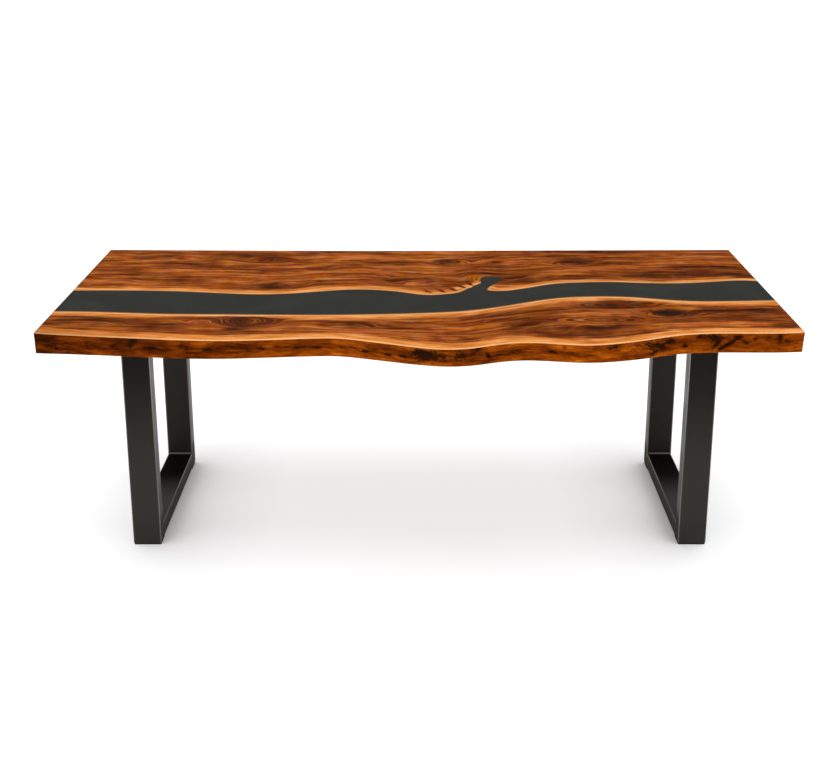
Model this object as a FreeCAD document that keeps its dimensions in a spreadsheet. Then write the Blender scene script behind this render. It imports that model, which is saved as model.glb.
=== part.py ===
import FreeCAD, Part
import math
import os
import Sketcher
from FreeCAD import Placement, Rotation, Vector

# River dining table: two live-edge walnut slabs joined by a poured resin river, on two
# U-shaped frames of welded rectangular tube. X runs along the table, -Y is the side that
# faces the viewer, Z is up. The origin is on the floor under the middle of the table.

# Driving sizes in millimetres: name, size, what it is
SIZES = [
    ("table_height", 760, "floor to the top face"),
    ("top_length", 2280, "end to end"),
    ("top_depth", 1131, "fullest bulge of the front edge to the back edge"),
    ("top_thickness", 68, "slabs and resin alike"),
    ("edge_ease", 4, "bevel along the outer arrises"),
    ("live_undercut", 40, "how far the live edge falls back towards the underside"),
    ("river_flare", 12, "how much each bank spreads from the top face to the underside"),
    ("end_overhang", 220, "end of the top to the outer face of a leg"),
    ("leg_frame_y", 38.5, "middle of the leg frames, behind the middle of the top"),
    ("leg_frame_depth", 650, "front face to rear face of a leg frame"),
    ("tube_width", 90, "rectangular tube, along the table"),
    ("tube_depth", 50, "rectangular tube, its narrow side"),
    ("tube_wall", 3, "wall of the tube"),
    ("tube_corner", 6, "outer corner radius of the tube"),
    ("pad_thickness", 5, "rubber foot pad"),
    ("pad_length", 62, "foot pad, front to back"),
    ("pad_inset", 1.5, "foot pad, back from the tube's faces"),
    ("pad_corner", 5, "corner radius of the foot pad"),
    ("plate_thickness", 8, "steel mounting plate"),
    ("plate_lip", 30, "plate beyond the tube at each side"),
    ("plate_end_lip", 75, "plate beyond the frame at front and back"),
    ("plate_corner", 8, "corner radius of the plate"),
    ("bolt_end_distance", 40, "outer bolt rows, in from the ends of the plate"),
    ("middle_row_y", 200, "middle bolt row, behind the middle of the plate"),
    ("slot_width", 9, "slots in the plate, clear of the bolts"),
    ("slot_length", 20, "slots run across the grain, so the wood can move"),
    ("bolt_diameter", 8, "leg bolt"),
    ("bolt_length", 30, "leg bolt under its head"),
    ("bolt_flats", 13, "hexagon head, across flats"),
    ("bolt_head_height", 5.3, "hexagon head"),
    ("washer_diameter", 22, "flat washer that covers the slot"),
    ("washer_hole", 8.4, "hole of the washer"),
    ("washer_thickness", 2, "flat washer"),
    ("insert_diameter", 12, "threaded insert for a leg bolt"),
    ("insert_length", 25, "threaded insert for a leg bolt"),
    ("channel_spacing", 800, "between the two stiffeners"),
    ("channel_length", 840, "stiffener, across the grain"),
    ("channel_width", 38, "stiffener, over its flanges"),
    ("channel_depth", 16, "stiffener, height of its flanges"),
    ("channel_wall", 3, "steel of the stiffener"),
    ("channel_clearance", 0.5, "stiffener in its groove"),
    ("channel_slot_width", 7, "slots in the stiffener's web"),
    ("channel_slot_length", 14, "slots in the stiffener's web"),
    ("screw_diameter", 6, "stiffener screw"),
    ("screw_length", 16, "stiffener screw under its head"),
    ("screw_head_diameter", 14, "pan head where it seats"),
    ("screw_crown_diameter", 9, "pan head at its outer end"),
    ("screw_head_height", 3.5, "pan head"),
    ("screw_insert_diameter", 9, "threaded insert for a stiffener screw"),
    ("screw_insert_length", 13, "threaded insert for a stiffener screw"),
    ("thread_clearance", 0.1, "round a bolt in its insert and an insert in its hole"),
    ("hole_tip", 4, "drilled depth beyond an insert"),
    ("cut_overrun", 20, "how far every cut runs past what it cuts"),
]

# Outlines of the top, chosen by hand as shares: x of half the length, y of half the depth.
# The third value is the share of the live edge's undercut at that place.
FRONT_EDGE_SHARES = [
    (-1.00, -0.735, 0.15), (-0.88, -0.780, 0.50), (-0.75, -0.815, 0.55), (-0.61, -0.850, 0.60),
    (-0.51, -0.862, 0.70), (-0.39, -0.848, 0.78), (-0.29, -0.826, 0.72), (-0.21, -0.823, 0.70),
    (-0.14, -0.866, 0.75), (-0.05, -0.935, 0.85), (0.06, -1.000, 0.98), (0.14, -0.975, 0.88),
    (0.21, -0.915, 0.76), (0.27, -0.892, 0.76), (0.34, -0.910, 0.82), (0.42, -0.936, 0.88),
    (0.50, -0.908, 0.72), (0.58, -0.850, 0.58), (0.66, -0.780, 0.46), (0.75, -0.742, 0.38),
    (0.88, -0.740, 0.38), (1.00, -0.722, 0.30),
]
BACK_EDGE_SHARES = [
    (1.00, 0.998, 0.10), (0.78, 0.996, 0.25), (0.50, 0.988, 0.30), (0.20, 0.981, 0.25),
    (0.00, 0.974, 0.30), (-0.37, 0.979, 0.35), (-0.60, 0.985, 0.25), (-1.00, 1.000, 0.10),
]
NEAR_BANK_SHARES = [
    (-1.00, -0.353), (-0.84, -0.370), (-0.70, -0.398), (-0.53, -0.409), (-0.31, -0.418),
    (-0.12, -0.407), (0.015, -0.382), (0.145, -0.331), (0.28, -0.202), (0.385, -0.101),
    (0.49, -0.066), (0.605, -0.081), (0.72, -0.143), (0.78, -0.160), (0.885, -0.157),
    (1.00, -0.141),
]
FAR_BANK_LEFT_SHARES = [
    (-1.00, 0.043), (-0.815, 0.042), (-0.71, 0.029), (-0.57, -0.011), (-0.465, -0.035),
    (-0.37, -0.019), (-0.29, 0.021), (-0.194, 0.063), (-0.115, 0.051), (-0.055, 0.012),
    (0.00, -0.039), (0.035, -0.050), (0.083, -0.026), (0.117, 0.012), (0.139, 0.078),
    (0.170, 0.168),
]
BRANCH_SHARES = [
    (0.170, 0.168), (0.181, 0.295), (0.188, 0.336), (0.203, 0.355), (0.225, 0.338),
    (0.250, 0.312), (0.244, 0.270), (0.232, 0.226), (0.217, 0.177), (0.204, 0.127),
    (0.191, 0.048),
]
FAR_BANK_RIGHT_SHARES = [
    (0.191, 0.048), (0.219, 0.035), (0.255, 0.040), (0.29, 0.072), (0.33, 0.115),
    (0.37, 0.162), (0.44, 0.204), (0.51, 0.221), (0.58, 0.221), (0.64, 0.205),
    (0.79, 0.201), (0.86, 0.226), (0.93, 0.253), (1.00, 0.241),
]

# Screws along a stiffener, as shares of half its length: two in the front slab, three behind
CHANNEL_SCREW_SHARES = (-0.92, -0.76, 0.36, 0.64, 0.92)

LEFT, RIGHT = -1, 1
SIDES = (("left", LEFT), ("right", RIGHT))

# Places that several pieces share, worked out from the sheet
UNDERSIDE = "(Sizes.table_height - Sizes.top_thickness)"
LEG_X = "(Sizes.top_length / 2 - Sizes.end_overhang - Sizes.tube_width / 2)"
FRAME_FRONT = "(Sizes.leg_frame_y - Sizes.leg_frame_depth / 2)"
FRAME_BACK = "(Sizes.leg_frame_y + Sizes.leg_frame_depth / 2)"
PLATE_LENGTH = "(Sizes.leg_frame_depth + 2 * Sizes.plate_end_lip)"
PLATE_BOTTOM = f"({UNDERSIDE} - Sizes.plate_thickness)"
CHANNEL_X = "(Sizes.channel_spacing / 2)"
BOLT_X = "(Sizes.tube_width / 2 + Sizes.plate_lip / 2)"
BOLT_ROWS = (
    f"(Sizes.bolt_end_distance - {PLATE_LENGTH} / 2)",
    "Sizes.middle_row_y",
    f"({PLATE_LENGTH} / 2 - Sizes.bolt_end_distance)",
)

doc = FreeCAD.newDocument("river_dining_table")
sheet = doc.addObject("Spreadsheet::Sheet", "Sizes")
for row, (name, number, meaning) in enumerate(SIZES, start=1):
    sheet.set(f"A{row}", name)
    sheet.set(f"B{row}", str(number))
    sheet.set(f"C{row}", meaning)
    sheet.setAlias(f"B{row}", name)
doc.recompute()


def size(name):
    """One driving size, read from the sheet."""
    return float(sheet.get(name))


def bind(item, **sizes):
    """Ties properties of an item to the sheet."""
    for name, text in sizes.items():
        item.setExpression(name, text)
    return item


def place(item, x="0", y="0", z="0", turn=None):
    """Ties the place of an item to the sheet, after turning it."""
    if turn is not None:
        item.Placement = Placement(Vector(), turn)
    for axis, text in zip("xyz", (x, y, z)):
        item.setExpression(f".Placement.Base.{axis}", text)
    return item


def add(kind, name, **sizes):
    return bind(doc.addObject(kind, name), **sizes)


def combine(kind, name, base, tool):
    """One boolean of two shapes."""
    made = doc.addObject(kind, name)
    made.Base = base
    made.Tool = tool
    return made


def group(label, solids):
    """Several solids kept together, such as like fasteners."""
    compound = doc.addObject("Part::Compound", label)
    compound.Links = solids
    return compound


# Sketches


def new_sketch(body, name, plane):
    """A sketch on one of the body's own origin planes."""
    sketch = body.newObject("Sketcher::SketchObject", name)
    support = [feature for feature in body.Origin.OriginFeatures if feature.Role == plane]
    sketch.AttachmentSupport = [(support[0], "")]
    sketch.MapMode = "FlatFace"
    return sketch


def constrain(sketch, text, kind, *where):
    """A dimension that starts as drawn and then follows the sheet."""
    if kind == "Radius":
        drawn = sketch.Geometry[where[0]].Radius
    else:
        reach = sketch.getPoint(*where[2:]) - sketch.getPoint(*where[:2])
        drawn = reach.x if kind == "DistanceX" else reach.y
    index = sketch.addConstraint(Sketcher.Constraint(kind, *where, drawn))
    sketch.setExpression(f"Constraints[{index}]", text)


def join_tangent(sketch, joints):
    for joint in joints:
        sketch.addConstraint(Sketcher.Constraint("Tangent", *joint))


def rounded_rectangle(sketch, width, depth, radius):
    """A rectangle about the sketch's origin, its corners rounded."""
    first = sketch.GeometryCount
    bottom, right, top, left = range(first, first + 4)
    corners = range(first + 4, first + 8)
    radius_guess = size("tube_corner")
    reach = size("tube_depth") / 2
    inner = reach - radius_guess
    for start, end in (
        ((-inner, -reach), (inner, -reach)),
        ((reach, -inner), (reach, inner)),
        ((inner, reach), (-inner, reach)),
        ((-reach, inner), (-reach, -inner)),
    ):
        sketch.addGeometry(Part.LineSegment(Vector(*start), Vector(*end)))
    quarter = math.pi / 2
    for turn, (x, y) in zip((-1, 0, 1, 2), ((1, -1), (1, 1), (-1, 1), (-1, -1))):
        circle = Part.Circle(Vector(x * inner, y * inner), Vector(0, 0, 1), radius_guess)
        sketch.addGeometry(Part.ArcOfCircle(circle, turn * quarter, (turn + 1) * quarter))
    lines = (bottom, right, top, left)
    for index, corner in enumerate(corners):
        following = lines[(index + 1) % len(lines)]
        join_tangent(sketch, [(lines[index], 2, corner, 1), (corner, 2, following, 1)])
    for line, kind in zip(lines, ("Horizontal", "Vertical", "Horizontal", "Vertical")):
        sketch.addConstraint(Sketcher.Constraint(kind, line))
    for corner in corners[1:]:
        sketch.addConstraint(Sketcher.Constraint("Equal", corners[0], corner))
    sketch.addConstraint(Sketcher.Constraint("Symmetric", corners[0], 3, corners[2], 3, -1, 1))
    constrain(sketch, radius, "Radius", corners[0])
    constrain(sketch, width, "DistanceX", left, 1, right, 1)
    constrain(sketch, depth, "DistanceY", bottom, 1, top, 1)


def polygon(sketch, corners):
    """A closed run of straight lines, each corner tied to the sheet."""
    first = sketch.GeometryCount
    count = len(corners)
    reach = size("tube_depth")
    spots = [
        Vector(reach * math.cos(2 * math.pi * k / count), reach * math.sin(2 * math.pi * k / count))
        for k in range(count)
    ]
    for k in range(count):
        sketch.addGeometry(Part.LineSegment(spots[k], spots[(k + 1) % count]))
    for k in range(count):
        joint = (first + k, 2, first + (k + 1) % count, 1)
        sketch.addConstraint(Sketcher.Constraint("Coincident", *joint))
    for k, (x, y) in enumerate(corners):
        constrain(sketch, x, "DistanceX", -1, 1, first + k, 1)
        constrain(sketch, y, "DistanceY", -1, 1, first + k, 1)


def slot(sketch, x, y, width, length):
    """A slot along the sketch's Y, centred on a place tied to the sheet."""
    first = sketch.GeometryCount
    left, top, right, bottom = range(first, first + 4)
    reach = size("slot_width") / 2
    low = 2 * first * reach
    high = low + 2 * reach
    up = Vector(0, 0, 1)
    top_circle = Part.Circle(Vector(0, high), up, reach)
    bottom_circle = Part.Circle(Vector(0, low), up, reach)
    sketch.addGeometry(Part.LineSegment(Vector(-reach, low), Vector(-reach, high)))
    sketch.addGeometry(Part.ArcOfCircle(top_circle, 0, math.pi))
    sketch.addGeometry(Part.LineSegment(Vector(reach, high), Vector(reach, low)))
    sketch.addGeometry(Part.ArcOfCircle(bottom_circle, math.pi, 2 * math.pi))
    joints = [(left, 2, top, 2), (top, 1, right, 1), (right, 2, bottom, 2), (bottom, 1, left, 1)]
    join_tangent(sketch, joints)
    sketch.addConstraint(Sketcher.Constraint("Vertical", left))
    sketch.addConstraint(Sketcher.Constraint("Equal", top, bottom))
    straight = f"({length} - {width}) / 2"
    constrain(sketch, f"{width} / 2", "Radius", top)
    constrain(sketch, x, "DistanceX", -1, 1, top, 3)
    constrain(sketch, f"{y} + {straight}", "DistanceY", -1, 1, top, 3)
    constrain(sketch, f"{y} - {straight}", "DistanceY", -1, 1, bottom, 3)


def pad(body, sketch, length):
    feature = body.newObject("PartDesign::Pad", f"{sketch.Name}_pad")
    feature.Profile = sketch
    bind(feature, Length=length)
    doc.recompute()
    return feature


def pocket(body, sketch, length):
    """Cuts the sketch both ways from its plane, and makes sure that it cut something."""
    before = body.Shape.Volume
    feature = body.newObject("PartDesign::Pocket", f"{sketch.Name}_pocket")
    feature.Profile = sketch
    feature.SideType = "Symmetric"
    bind(feature, Length=length)
    doc.recompute()
    if not feature.Shape.Volume < before:
        raise RuntimeError(f"{feature.Name} cuts nothing")
    return feature


# Table top


def curve(places, height, knots=None):
    """A smooth edge through places at one height."""
    spline = Part.BSplineCurve()
    points = [Vector(x, y, height) for x, y in places]
    if knots:
        spline.interpolate(Points=points, Parameters=knots)
    else:
        spline.interpolate(Points=points)
    return spline.toShape()


def line(start, end, height):
    return Part.makeLine(Vector(*start, height), Vector(*end, height))


def edge_places(shares, inset, fallen):
    """An outer edge, drawn in by inset and fallen back by a part of its undercut."""
    half_length = size("top_length") / 2
    half_depth = size("top_depth") / 2
    places = []
    for x_share, y_share, undercut_share in shares:
        inward = math.copysign(inset + fallen * undercut_share * size("live_undercut"), -y_share)
        places.append((x_share * (half_length - inset), y_share * half_depth + inward))
    return places


def top_section(name, below_top, inset):
    """The outline of the whole top at one depth below the top face."""
    height = size("table_height") - below_top
    fallen = below_top / size("top_thickness")
    front = edge_places(FRONT_EDGE_SHARES, inset, fallen)
    back = edge_places(BACK_EDGE_SHARES, inset, fallen)
    section = doc.addObject("Part::Feature", name)
    section.Shape = Part.Wire([
        curve(front, height, [share[0] for share in FRONT_EDGE_SHARES]),
        line(front[-1], back[0], height),
        curve(back, height, [-share[0] for share in BACK_EDGE_SHARES]),
        line(back[-1], front[0], height),
    ])
    return section


def make_blank():
    """The whole top before the river parts it, with eased arrises."""
    ease = size("edge_ease")
    thickness = size("top_thickness")
    blank = doc.addObject("Part::Loft", "top_blank")
    blank.Sections = [
        top_section("underside_outline", thickness, ease),
        top_section("lower_arris", thickness - ease, 0),
        top_section("upper_arris", ease, 0),
        top_section("top_outline", 0, ease),
    ]
    blank.Solid = True
    blank.Ruled = True
    return blank


def bank_places(shares):
    half_length = size("top_length") / 2
    half_depth = size("top_depth") / 2
    return [(x * half_length, y * half_depth) for x, y in shares]


def make_side(name, side, banks):
    """All that lies on one side of the river: its bank leans out towards the underside."""
    overrun = size("cut_overrun")
    lean = size("river_flare") / size("top_thickness")
    height = size("table_height") + overrun
    end_x = size("top_length") / 2 + overrun
    outer_y = side * (size("top_depth") / 2 + overrun)
    start, finish = bank_places(banks[0][0])[0], bank_places(banks[-1][0])[-1]
    corners = [finish, (end_x, finish[1]), (end_x, outer_y), (-end_x, outer_y)]
    corners += [(-end_x, start[1]), start]
    edges = []
    for shares, follows_x in banks:
        knots = [x for x, _ in shares] if follows_x else None
        edges.append(curve(bank_places(shares), height, knots))
    edges += [line(a, b, height) for a, b in zip(corners, corners[1:])]
    outline = doc.addObject("Part::Feature", f"{name}_outline")
    outline.Shape = Part.Face(Part.Wire(edges))
    outline.Placement = Placement(Vector(0, -side * lean * overrun, 0), Rotation())
    solid = doc.addObject("Part::Extrusion", name)
    solid.Base = outline
    solid.DirMode = "Custom"
    solid.Dir = Vector(0, side * lean, -1)
    solid.Solid = True
    slant = "sqrt(1 + (Sizes.river_flare / Sizes.top_thickness) ^ 2)"
    bind(solid, LengthFwd=f"(Sizes.top_thickness + 2 * Sizes.cut_overrun) * {slant}")
    return solid


def drilled_hole(name, x, y, diameter, depth):
    """A blind hole up into the underside."""
    hole = add(
        "Part::Cylinder", name,
        Radius=f"{diameter} / 2 + Sizes.thread_clearance",
        Height=f"{depth} + Sizes.hole_tip + Sizes.cut_overrun",
    )
    return place(hole, x, y, f"{UNDERSIDE} - Sizes.cut_overrun")


def channel_groove(name, side):
    """The groove for one stiffener: two deep slots for its flanges and a shallow bed between."""
    outer = add(
        "Part::Box", f"{name}_outer",
        Length="Sizes.channel_width + 2 * Sizes.channel_clearance",
        Width="Sizes.channel_length + 2 * Sizes.channel_clearance",
        Height="Sizes.channel_depth + Sizes.channel_clearance + Sizes.cut_overrun",
    )
    middle = f"{side} * {CHANNEL_X}"
    place(
        outer,
        f"{middle} - Sizes.channel_width / 2 - Sizes.channel_clearance",
        "Sizes.leg_frame_y - Sizes.channel_length / 2 - Sizes.channel_clearance",
        f"{UNDERSIDE} - Sizes.cut_overrun",
    )
    core = add(
        "Part::Box", f"{name}_core",
        Length="Sizes.channel_width - 2 * Sizes.channel_wall - 2 * Sizes.channel_clearance",
        Width="Sizes.channel_length + 2 * Sizes.cut_overrun",
        Height="Sizes.channel_depth + Sizes.cut_overrun",
    )
    place(
        core,
        f"{middle} - Sizes.channel_width / 2 + Sizes.channel_wall + Sizes.channel_clearance",
        "Sizes.leg_frame_y - Sizes.channel_length / 2 - Sizes.cut_overrun",
        f"{UNDERSIDE} + Sizes.channel_wall + Sizes.channel_clearance",
    )
    return combine("Part::Cut", name, outer, core)


def bolt_places(side):
    """Where the leg bolts of one side stand."""
    return [
        (f"{side} * {LEG_X} + {column} * {BOLT_X}", f"Sizes.leg_frame_y + {row_y}")
        for row_y in BOLT_ROWS
        for column in (LEFT, RIGHT)
    ]


def screw_places(side):
    """Where the screws of one stiffener stand."""
    return [
        (f"{side} * {CHANNEL_X}", f"Sizes.leg_frame_y + {share} * Sizes.channel_length / 2")
        for share in CHANNEL_SCREW_SHARES
    ]


def make_underside_cuts():
    """Everything that is cut into the underside of the top."""
    cuts = []
    for word, side in SIDES:
        cuts.append(channel_groove(f"{word}_groove", side))
        for index, (x, y) in enumerate(bolt_places(side)):
            name = f"{word}_bolt_hole_{index}"
            cuts.append(drilled_hole(name, x, y, "Sizes.insert_diameter", "Sizes.insert_length"))
        depth = "Sizes.channel_wall + Sizes.channel_clearance + Sizes.screw_insert_length"
        for index, (x, y) in enumerate(screw_places(side)):
            name = f"{word}_screw_hole_{index}"
            cuts.append(drilled_hole(name, x, y, "Sizes.screw_insert_diameter", depth))
    fused = doc.addObject("Part::MultiFuse", "underside_cuts")
    fused.Shapes = cuts
    return fused


def make_top():
    """The two slabs and the resin between them, which meet face to face."""
    blank = make_blank()
    cuts = make_underside_cuts()
    near = make_side("near_side", -1, [(NEAR_BANK_SHARES, True)])
    far_banks = [(FAR_BANK_LEFT_SHARES, True), (BRANCH_SHARES, False), (FAR_BANK_RIGHT_SHARES, True)]
    far = make_side("far_side", 1, far_banks)
    both = group("both_sides", [near, far])
    front = combine("Part::Common", "front_slab_uncut", blank, near)
    rear = combine("Part::Common", "rear_slab_uncut", blank, far)
    river = combine("Part::Cut", "resin_river_uncut", blank, both)
    return [
        combine("Part::Cut", "front_slab", front, cuts),
        combine("Part::Cut", "rear_slab", rear, cuts),
        combine("Part::Cut", "resin_river", river, cuts),
    ]


# Leg frames


def make_tube(label, length, mitred_ends):
    """Rectangular tube along its own Z. Its -Y face stays full length where an end is mitred."""
    body = doc.addObject("PartDesign::Body", label)
    profile = new_sketch(body, f"{label}_profile", "XY_Plane")
    rounded_rectangle(profile, "Sizes.tube_width", "Sizes.tube_depth", "Sizes.tube_corner")
    rounded_rectangle(
        profile,
        "Sizes.tube_width - 2 * Sizes.tube_wall",
        "Sizes.tube_depth - 2 * Sizes.tube_wall",
        "Sizes.tube_corner - Sizes.tube_wall",
    )
    pad(body, profile, length)
    near_y = "-Sizes.tube_depth / 2 - Sizes.cut_overrun"
    far_y = "Sizes.tube_depth / 2 + Sizes.cut_overrun"
    ends = {"start": "0", "end": length}
    inward = {"start": "+", "end": "-"}
    outward = {"start": "-", "end": "+"}
    for end in mitred_ends:
        cutter = new_sketch(body, f"{label}_{end}_mitre", "YZ_Plane")
        outer_z = f"{ends[end]} {outward[end]} Sizes.cut_overrun"
        inner_z = f"{ends[end]} {inward[end]} (Sizes.tube_depth + Sizes.cut_overrun)"
        polygon(cutter, [(near_y, outer_z), (far_y, outer_z), (far_y, inner_z)])
        pocket(body, cutter, "Sizes.tube_width + 2 * Sizes.cut_overrun")
    return body


def make_uprights(word, side):
    """Front and rear upright, from the floor pads to the mounting plate."""
    length = f"({PLATE_BOTTOM} - Sizes.pad_thickness)"
    front = make_tube(f"{word}_front_upright", length, ("start",))
    place(front, f"{side} * {LEG_X}", f"{FRAME_FRONT} + Sizes.tube_depth / 2", "Sizes.pad_thickness")
    rear = make_tube(f"{word}_rear_upright", length, ("start",))
    half_turn = Rotation(Vector(0, 0, 1), 180)
    rear_y = f"{FRAME_BACK} - Sizes.tube_depth / 2"
    place(rear, f"{side} * {LEG_X}", rear_y, "Sizes.pad_thickness", half_turn)
    return [front, rear]


def make_rail(word, side):
    """Floor rail of a frame, mitred into both uprights."""
    rail = make_tube(f"{word}_floor_rail", "Sizes.leg_frame_depth", ("start", "end"))
    along_y = Rotation(Vector(0, 1, 1), 180)
    z = "Sizes.pad_thickness + Sizes.tube_depth / 2"
    place(rail, f"{side} * {LEG_X}", FRAME_FRONT, z, along_y)
    return rail


def make_plate(word, side):
    """Mounting plate on top of a frame, slotted for its bolts."""
    label = f"{word}_mounting_plate"
    body = doc.addObject("PartDesign::Body", label)
    outline = new_sketch(body, f"{label}_outline", "XY_Plane")
    width = "Sizes.tube_width + 2 * Sizes.plate_lip"
    rounded_rectangle(outline, width, PLATE_LENGTH, "Sizes.plate_corner")
    pad(body, outline, "Sizes.plate_thickness")
    slots = new_sketch(body, f"{label}_slots", "XY_Plane")
    for row_y in BOLT_ROWS:
        for column in (LEFT, RIGHT):
            slot(slots, f"{column} * {BOLT_X}", row_y, "Sizes.slot_width", "Sizes.slot_length")
    pocket(body, slots, "2 * (Sizes.plate_thickness + Sizes.cut_overrun)")
    return place(body, f"{side} * {LEG_X}", "Sizes.leg_frame_y", PLATE_BOTTOM)


def make_foot_pads(word, side):
    """Rubber pads under the two ends of a floor rail."""
    pads = []
    front_y = f"{FRAME_FRONT} + Sizes.pad_inset + Sizes.pad_length / 2"
    rear_y = f"{FRAME_BACK} - Sizes.pad_inset - Sizes.pad_length / 2"
    for end, y in (("front", front_y), ("rear", rear_y)):
        label = f"{word}_{end}_foot_pad"
        body = doc.addObject("PartDesign::Body", label)
        outline = new_sketch(body, f"{label}_outline", "XY_Plane")
        width = "Sizes.tube_width - 2 * Sizes.pad_inset"
        rounded_rectangle(outline, width, "Sizes.pad_length", "Sizes.pad_corner")
        pad(body, outline, "Sizes.pad_thickness")
        pads.append(place(body, f"{side} * {LEG_X}", y, "0"))
    return pads


# Stiffeners


def make_channel(word, side):
    """Steel channel let into the underside, flanges up, its web slotted for the screws."""
    label = f"{word}_stiffener_channel"
    body = doc.addObject("PartDesign::Body", label)
    outline = new_sketch(body, f"{label}_outline", "XY_Plane")
    half_width = "Sizes.channel_width / 2"
    half_length = "Sizes.channel_length / 2"
    polygon(outline, [
        (f"-{half_width}", f"-{half_length}"), (half_width, f"-{half_length}"),
        (half_width, half_length), (f"-{half_width}", half_length),
    ])
    pad(body, outline, "Sizes.channel_depth")
    hollow = new_sketch(body, f"{label}_hollow", "XZ_Plane")
    inner = f"({half_width} - Sizes.channel_wall)"
    over = "Sizes.channel_depth + Sizes.cut_overrun"
    polygon(hollow, [
        (f"-{inner}", "Sizes.channel_wall"), (inner, "Sizes.channel_wall"),
        (inner, over), (f"-{inner}", over),
    ])
    pocket(body, hollow, "Sizes.channel_length + 2 * Sizes.cut_overrun")
    slots = new_sketch(body, f"{label}_slots", "XY_Plane")
    for share in CHANNEL_SCREW_SHARES:
        y = f"{share} * Sizes.channel_length / 2"
        slot(slots, "0", y, "Sizes.channel_slot_width", "Sizes.channel_slot_length")
    pocket(body, slots, "2 * (Sizes.channel_wall + Sizes.cut_overrun)")
    return place(body, f"{side} * {CHANNEL_X}", "Sizes.leg_frame_y", UNDERSIDE)


# Fasteners


def ring(name, x, y, z, outer, bore, length):
    """A round piece with a round bore, such as a washer or a threaded insert."""
    body = add("Part::Cylinder", f"{name}_outer", Radius=f"{outer} / 2", Height=length)
    hole_length = f"{length} + 2 * Sizes.cut_overrun"
    hole = add("Part::Cylinder", f"{name}_bore", Radius=f"{bore} / 2", Height=hole_length)
    place(body, x, y, z)
    place(hole, x, y, f"{z} - Sizes.cut_overrun")
    return combine("Part::Cut", name, body, hole)


def hex_bolt(name, x, y):
    """A leg bolt, its head below the washer."""
    seat = f"{PLATE_BOTTOM} - Sizes.washer_thickness"
    radius = "Sizes.bolt_flats / sqrt(3)"
    head = add("Part::Prism", f"{name}_head", Circumradius=radius, Height="Sizes.bolt_head_height")
    head.Polygon = 6
    place(head, x, y, f"{seat} - Sizes.bolt_head_height")
    shank = add(
        "Part::Cylinder", f"{name}_shank",
        Radius="Sizes.bolt_diameter / 2",
        Height="Sizes.bolt_length",
    )
    place(shank, x, y, seat)
    return combine("Part::Fuse", name, head, shank)


def pan_screw(name, x, y):
    """A stiffener screw, its head below the web."""
    head = add(
        "Part::Cone", f"{name}_head",
        Radius1="Sizes.screw_crown_diameter / 2",
        Radius2="Sizes.screw_head_diameter / 2",
        Height="Sizes.screw_head_height",
    )
    place(head, x, y, f"{UNDERSIDE} - Sizes.screw_head_height")
    shank = add(
        "Part::Cylinder", f"{name}_shank",
        Radius="Sizes.screw_diameter / 2",
        Height="Sizes.screw_length",
    )
    place(shank, x, y, UNDERSIDE)
    return combine("Part::Fuse", name, head, shank)


def make_leg_fasteners(word, side):
    """Bolts, washers and threaded inserts of one leg frame."""
    bolts, washers, inserts = [], [], []
    washer_z = f"{PLATE_BOTTOM} - Sizes.washer_thickness"
    insert_bore = "(Sizes.bolt_diameter + 2 * Sizes.thread_clearance)"
    for index, (x, y) in enumerate(bolt_places(side)):
        bolts.append(hex_bolt(f"{word}_bolt_{index}", x, y))
        washers.append(ring(
            f"{word}_washer_{index}", x, y, washer_z,
            "Sizes.washer_diameter", "Sizes.washer_hole", "Sizes.washer_thickness",
        ))
        inserts.append(ring(
            f"{word}_insert_{index}", x, y, UNDERSIDE,
            "Sizes.insert_diameter", insert_bore, "Sizes.insert_length",
        ))
    return [
        group(f"{word}_leg_bolts", bolts),
        group(f"{word}_leg_washers", washers),
        group(f"{word}_leg_inserts", inserts),
    ]


def make_channel_fasteners(word, side):
    """Screws and threaded inserts of one stiffener."""
    screws, inserts = [], []
    insert_z = f"{UNDERSIDE} + Sizes.channel_wall + Sizes.channel_clearance"
    insert_bore = "(Sizes.screw_diameter + 2 * Sizes.thread_clearance)"
    for index, (x, y) in enumerate(screw_places(side)):
        screws.append(pan_screw(f"{word}_screw_{index}", x, y))
        inserts.append(ring(
            f"{word}_screw_insert_{index}", x, y, insert_z,
            "Sizes.screw_insert_diameter", insert_bore, "Sizes.screw_insert_length",
        ))
    return [
        group(f"{word}_stiffener_screws", screws),
        group(f"{word}_stiffener_inserts", inserts),
    ]


# Assembly

nodes = make_top()
for word, side in SIDES:
    nodes += make_uprights(word, side)
    nodes.append(make_rail(word, side))
    nodes.append(make_plate(word, side))
    nodes += make_foot_pads(word, side)
    nodes += make_leg_fasteners(word, side)
    nodes.append(make_channel(word, side))
    nodes += make_channel_fasteners(word, side)
doc.recompute()

for item in doc.Objects:
    if "Invalid" in item.State or "Error" in item.State:
        raise RuntimeError(f"{item.Label} failed: {item.State}")
for node in nodes:
    if node.Shape.isNull() or not node.Shape.isValid() or not node.Shape.Solids:
        raise RuntimeError(f"{node.Label} has no valid solid")

os.makedirs("parts", exist_ok=True)
for node in nodes:
    node.Shape.exportStep(f"parts/{node.Label}.step")
    box = node.Shape.BoundBox
    print(
        f"{node.Label}: {len(node.Shape.Solids)} solid(s), {node.Shape.Volume / 1000:.1f} cm3, "
        f"x {box.XMin:.1f} to {box.XMax:.1f}, y {box.YMin:.1f} to {box.YMax:.1f}, "
        f"z {box.ZMin:.1f} to {box.ZMax:.1f}"
    )
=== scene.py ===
import math
from collections import namedtuple

import bmesh
import bpy
import numpy as np
from mathutils import Matrix, Vector, kdtree, noise
from mathutils.geometry import delaunay_2d_cdt


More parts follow.
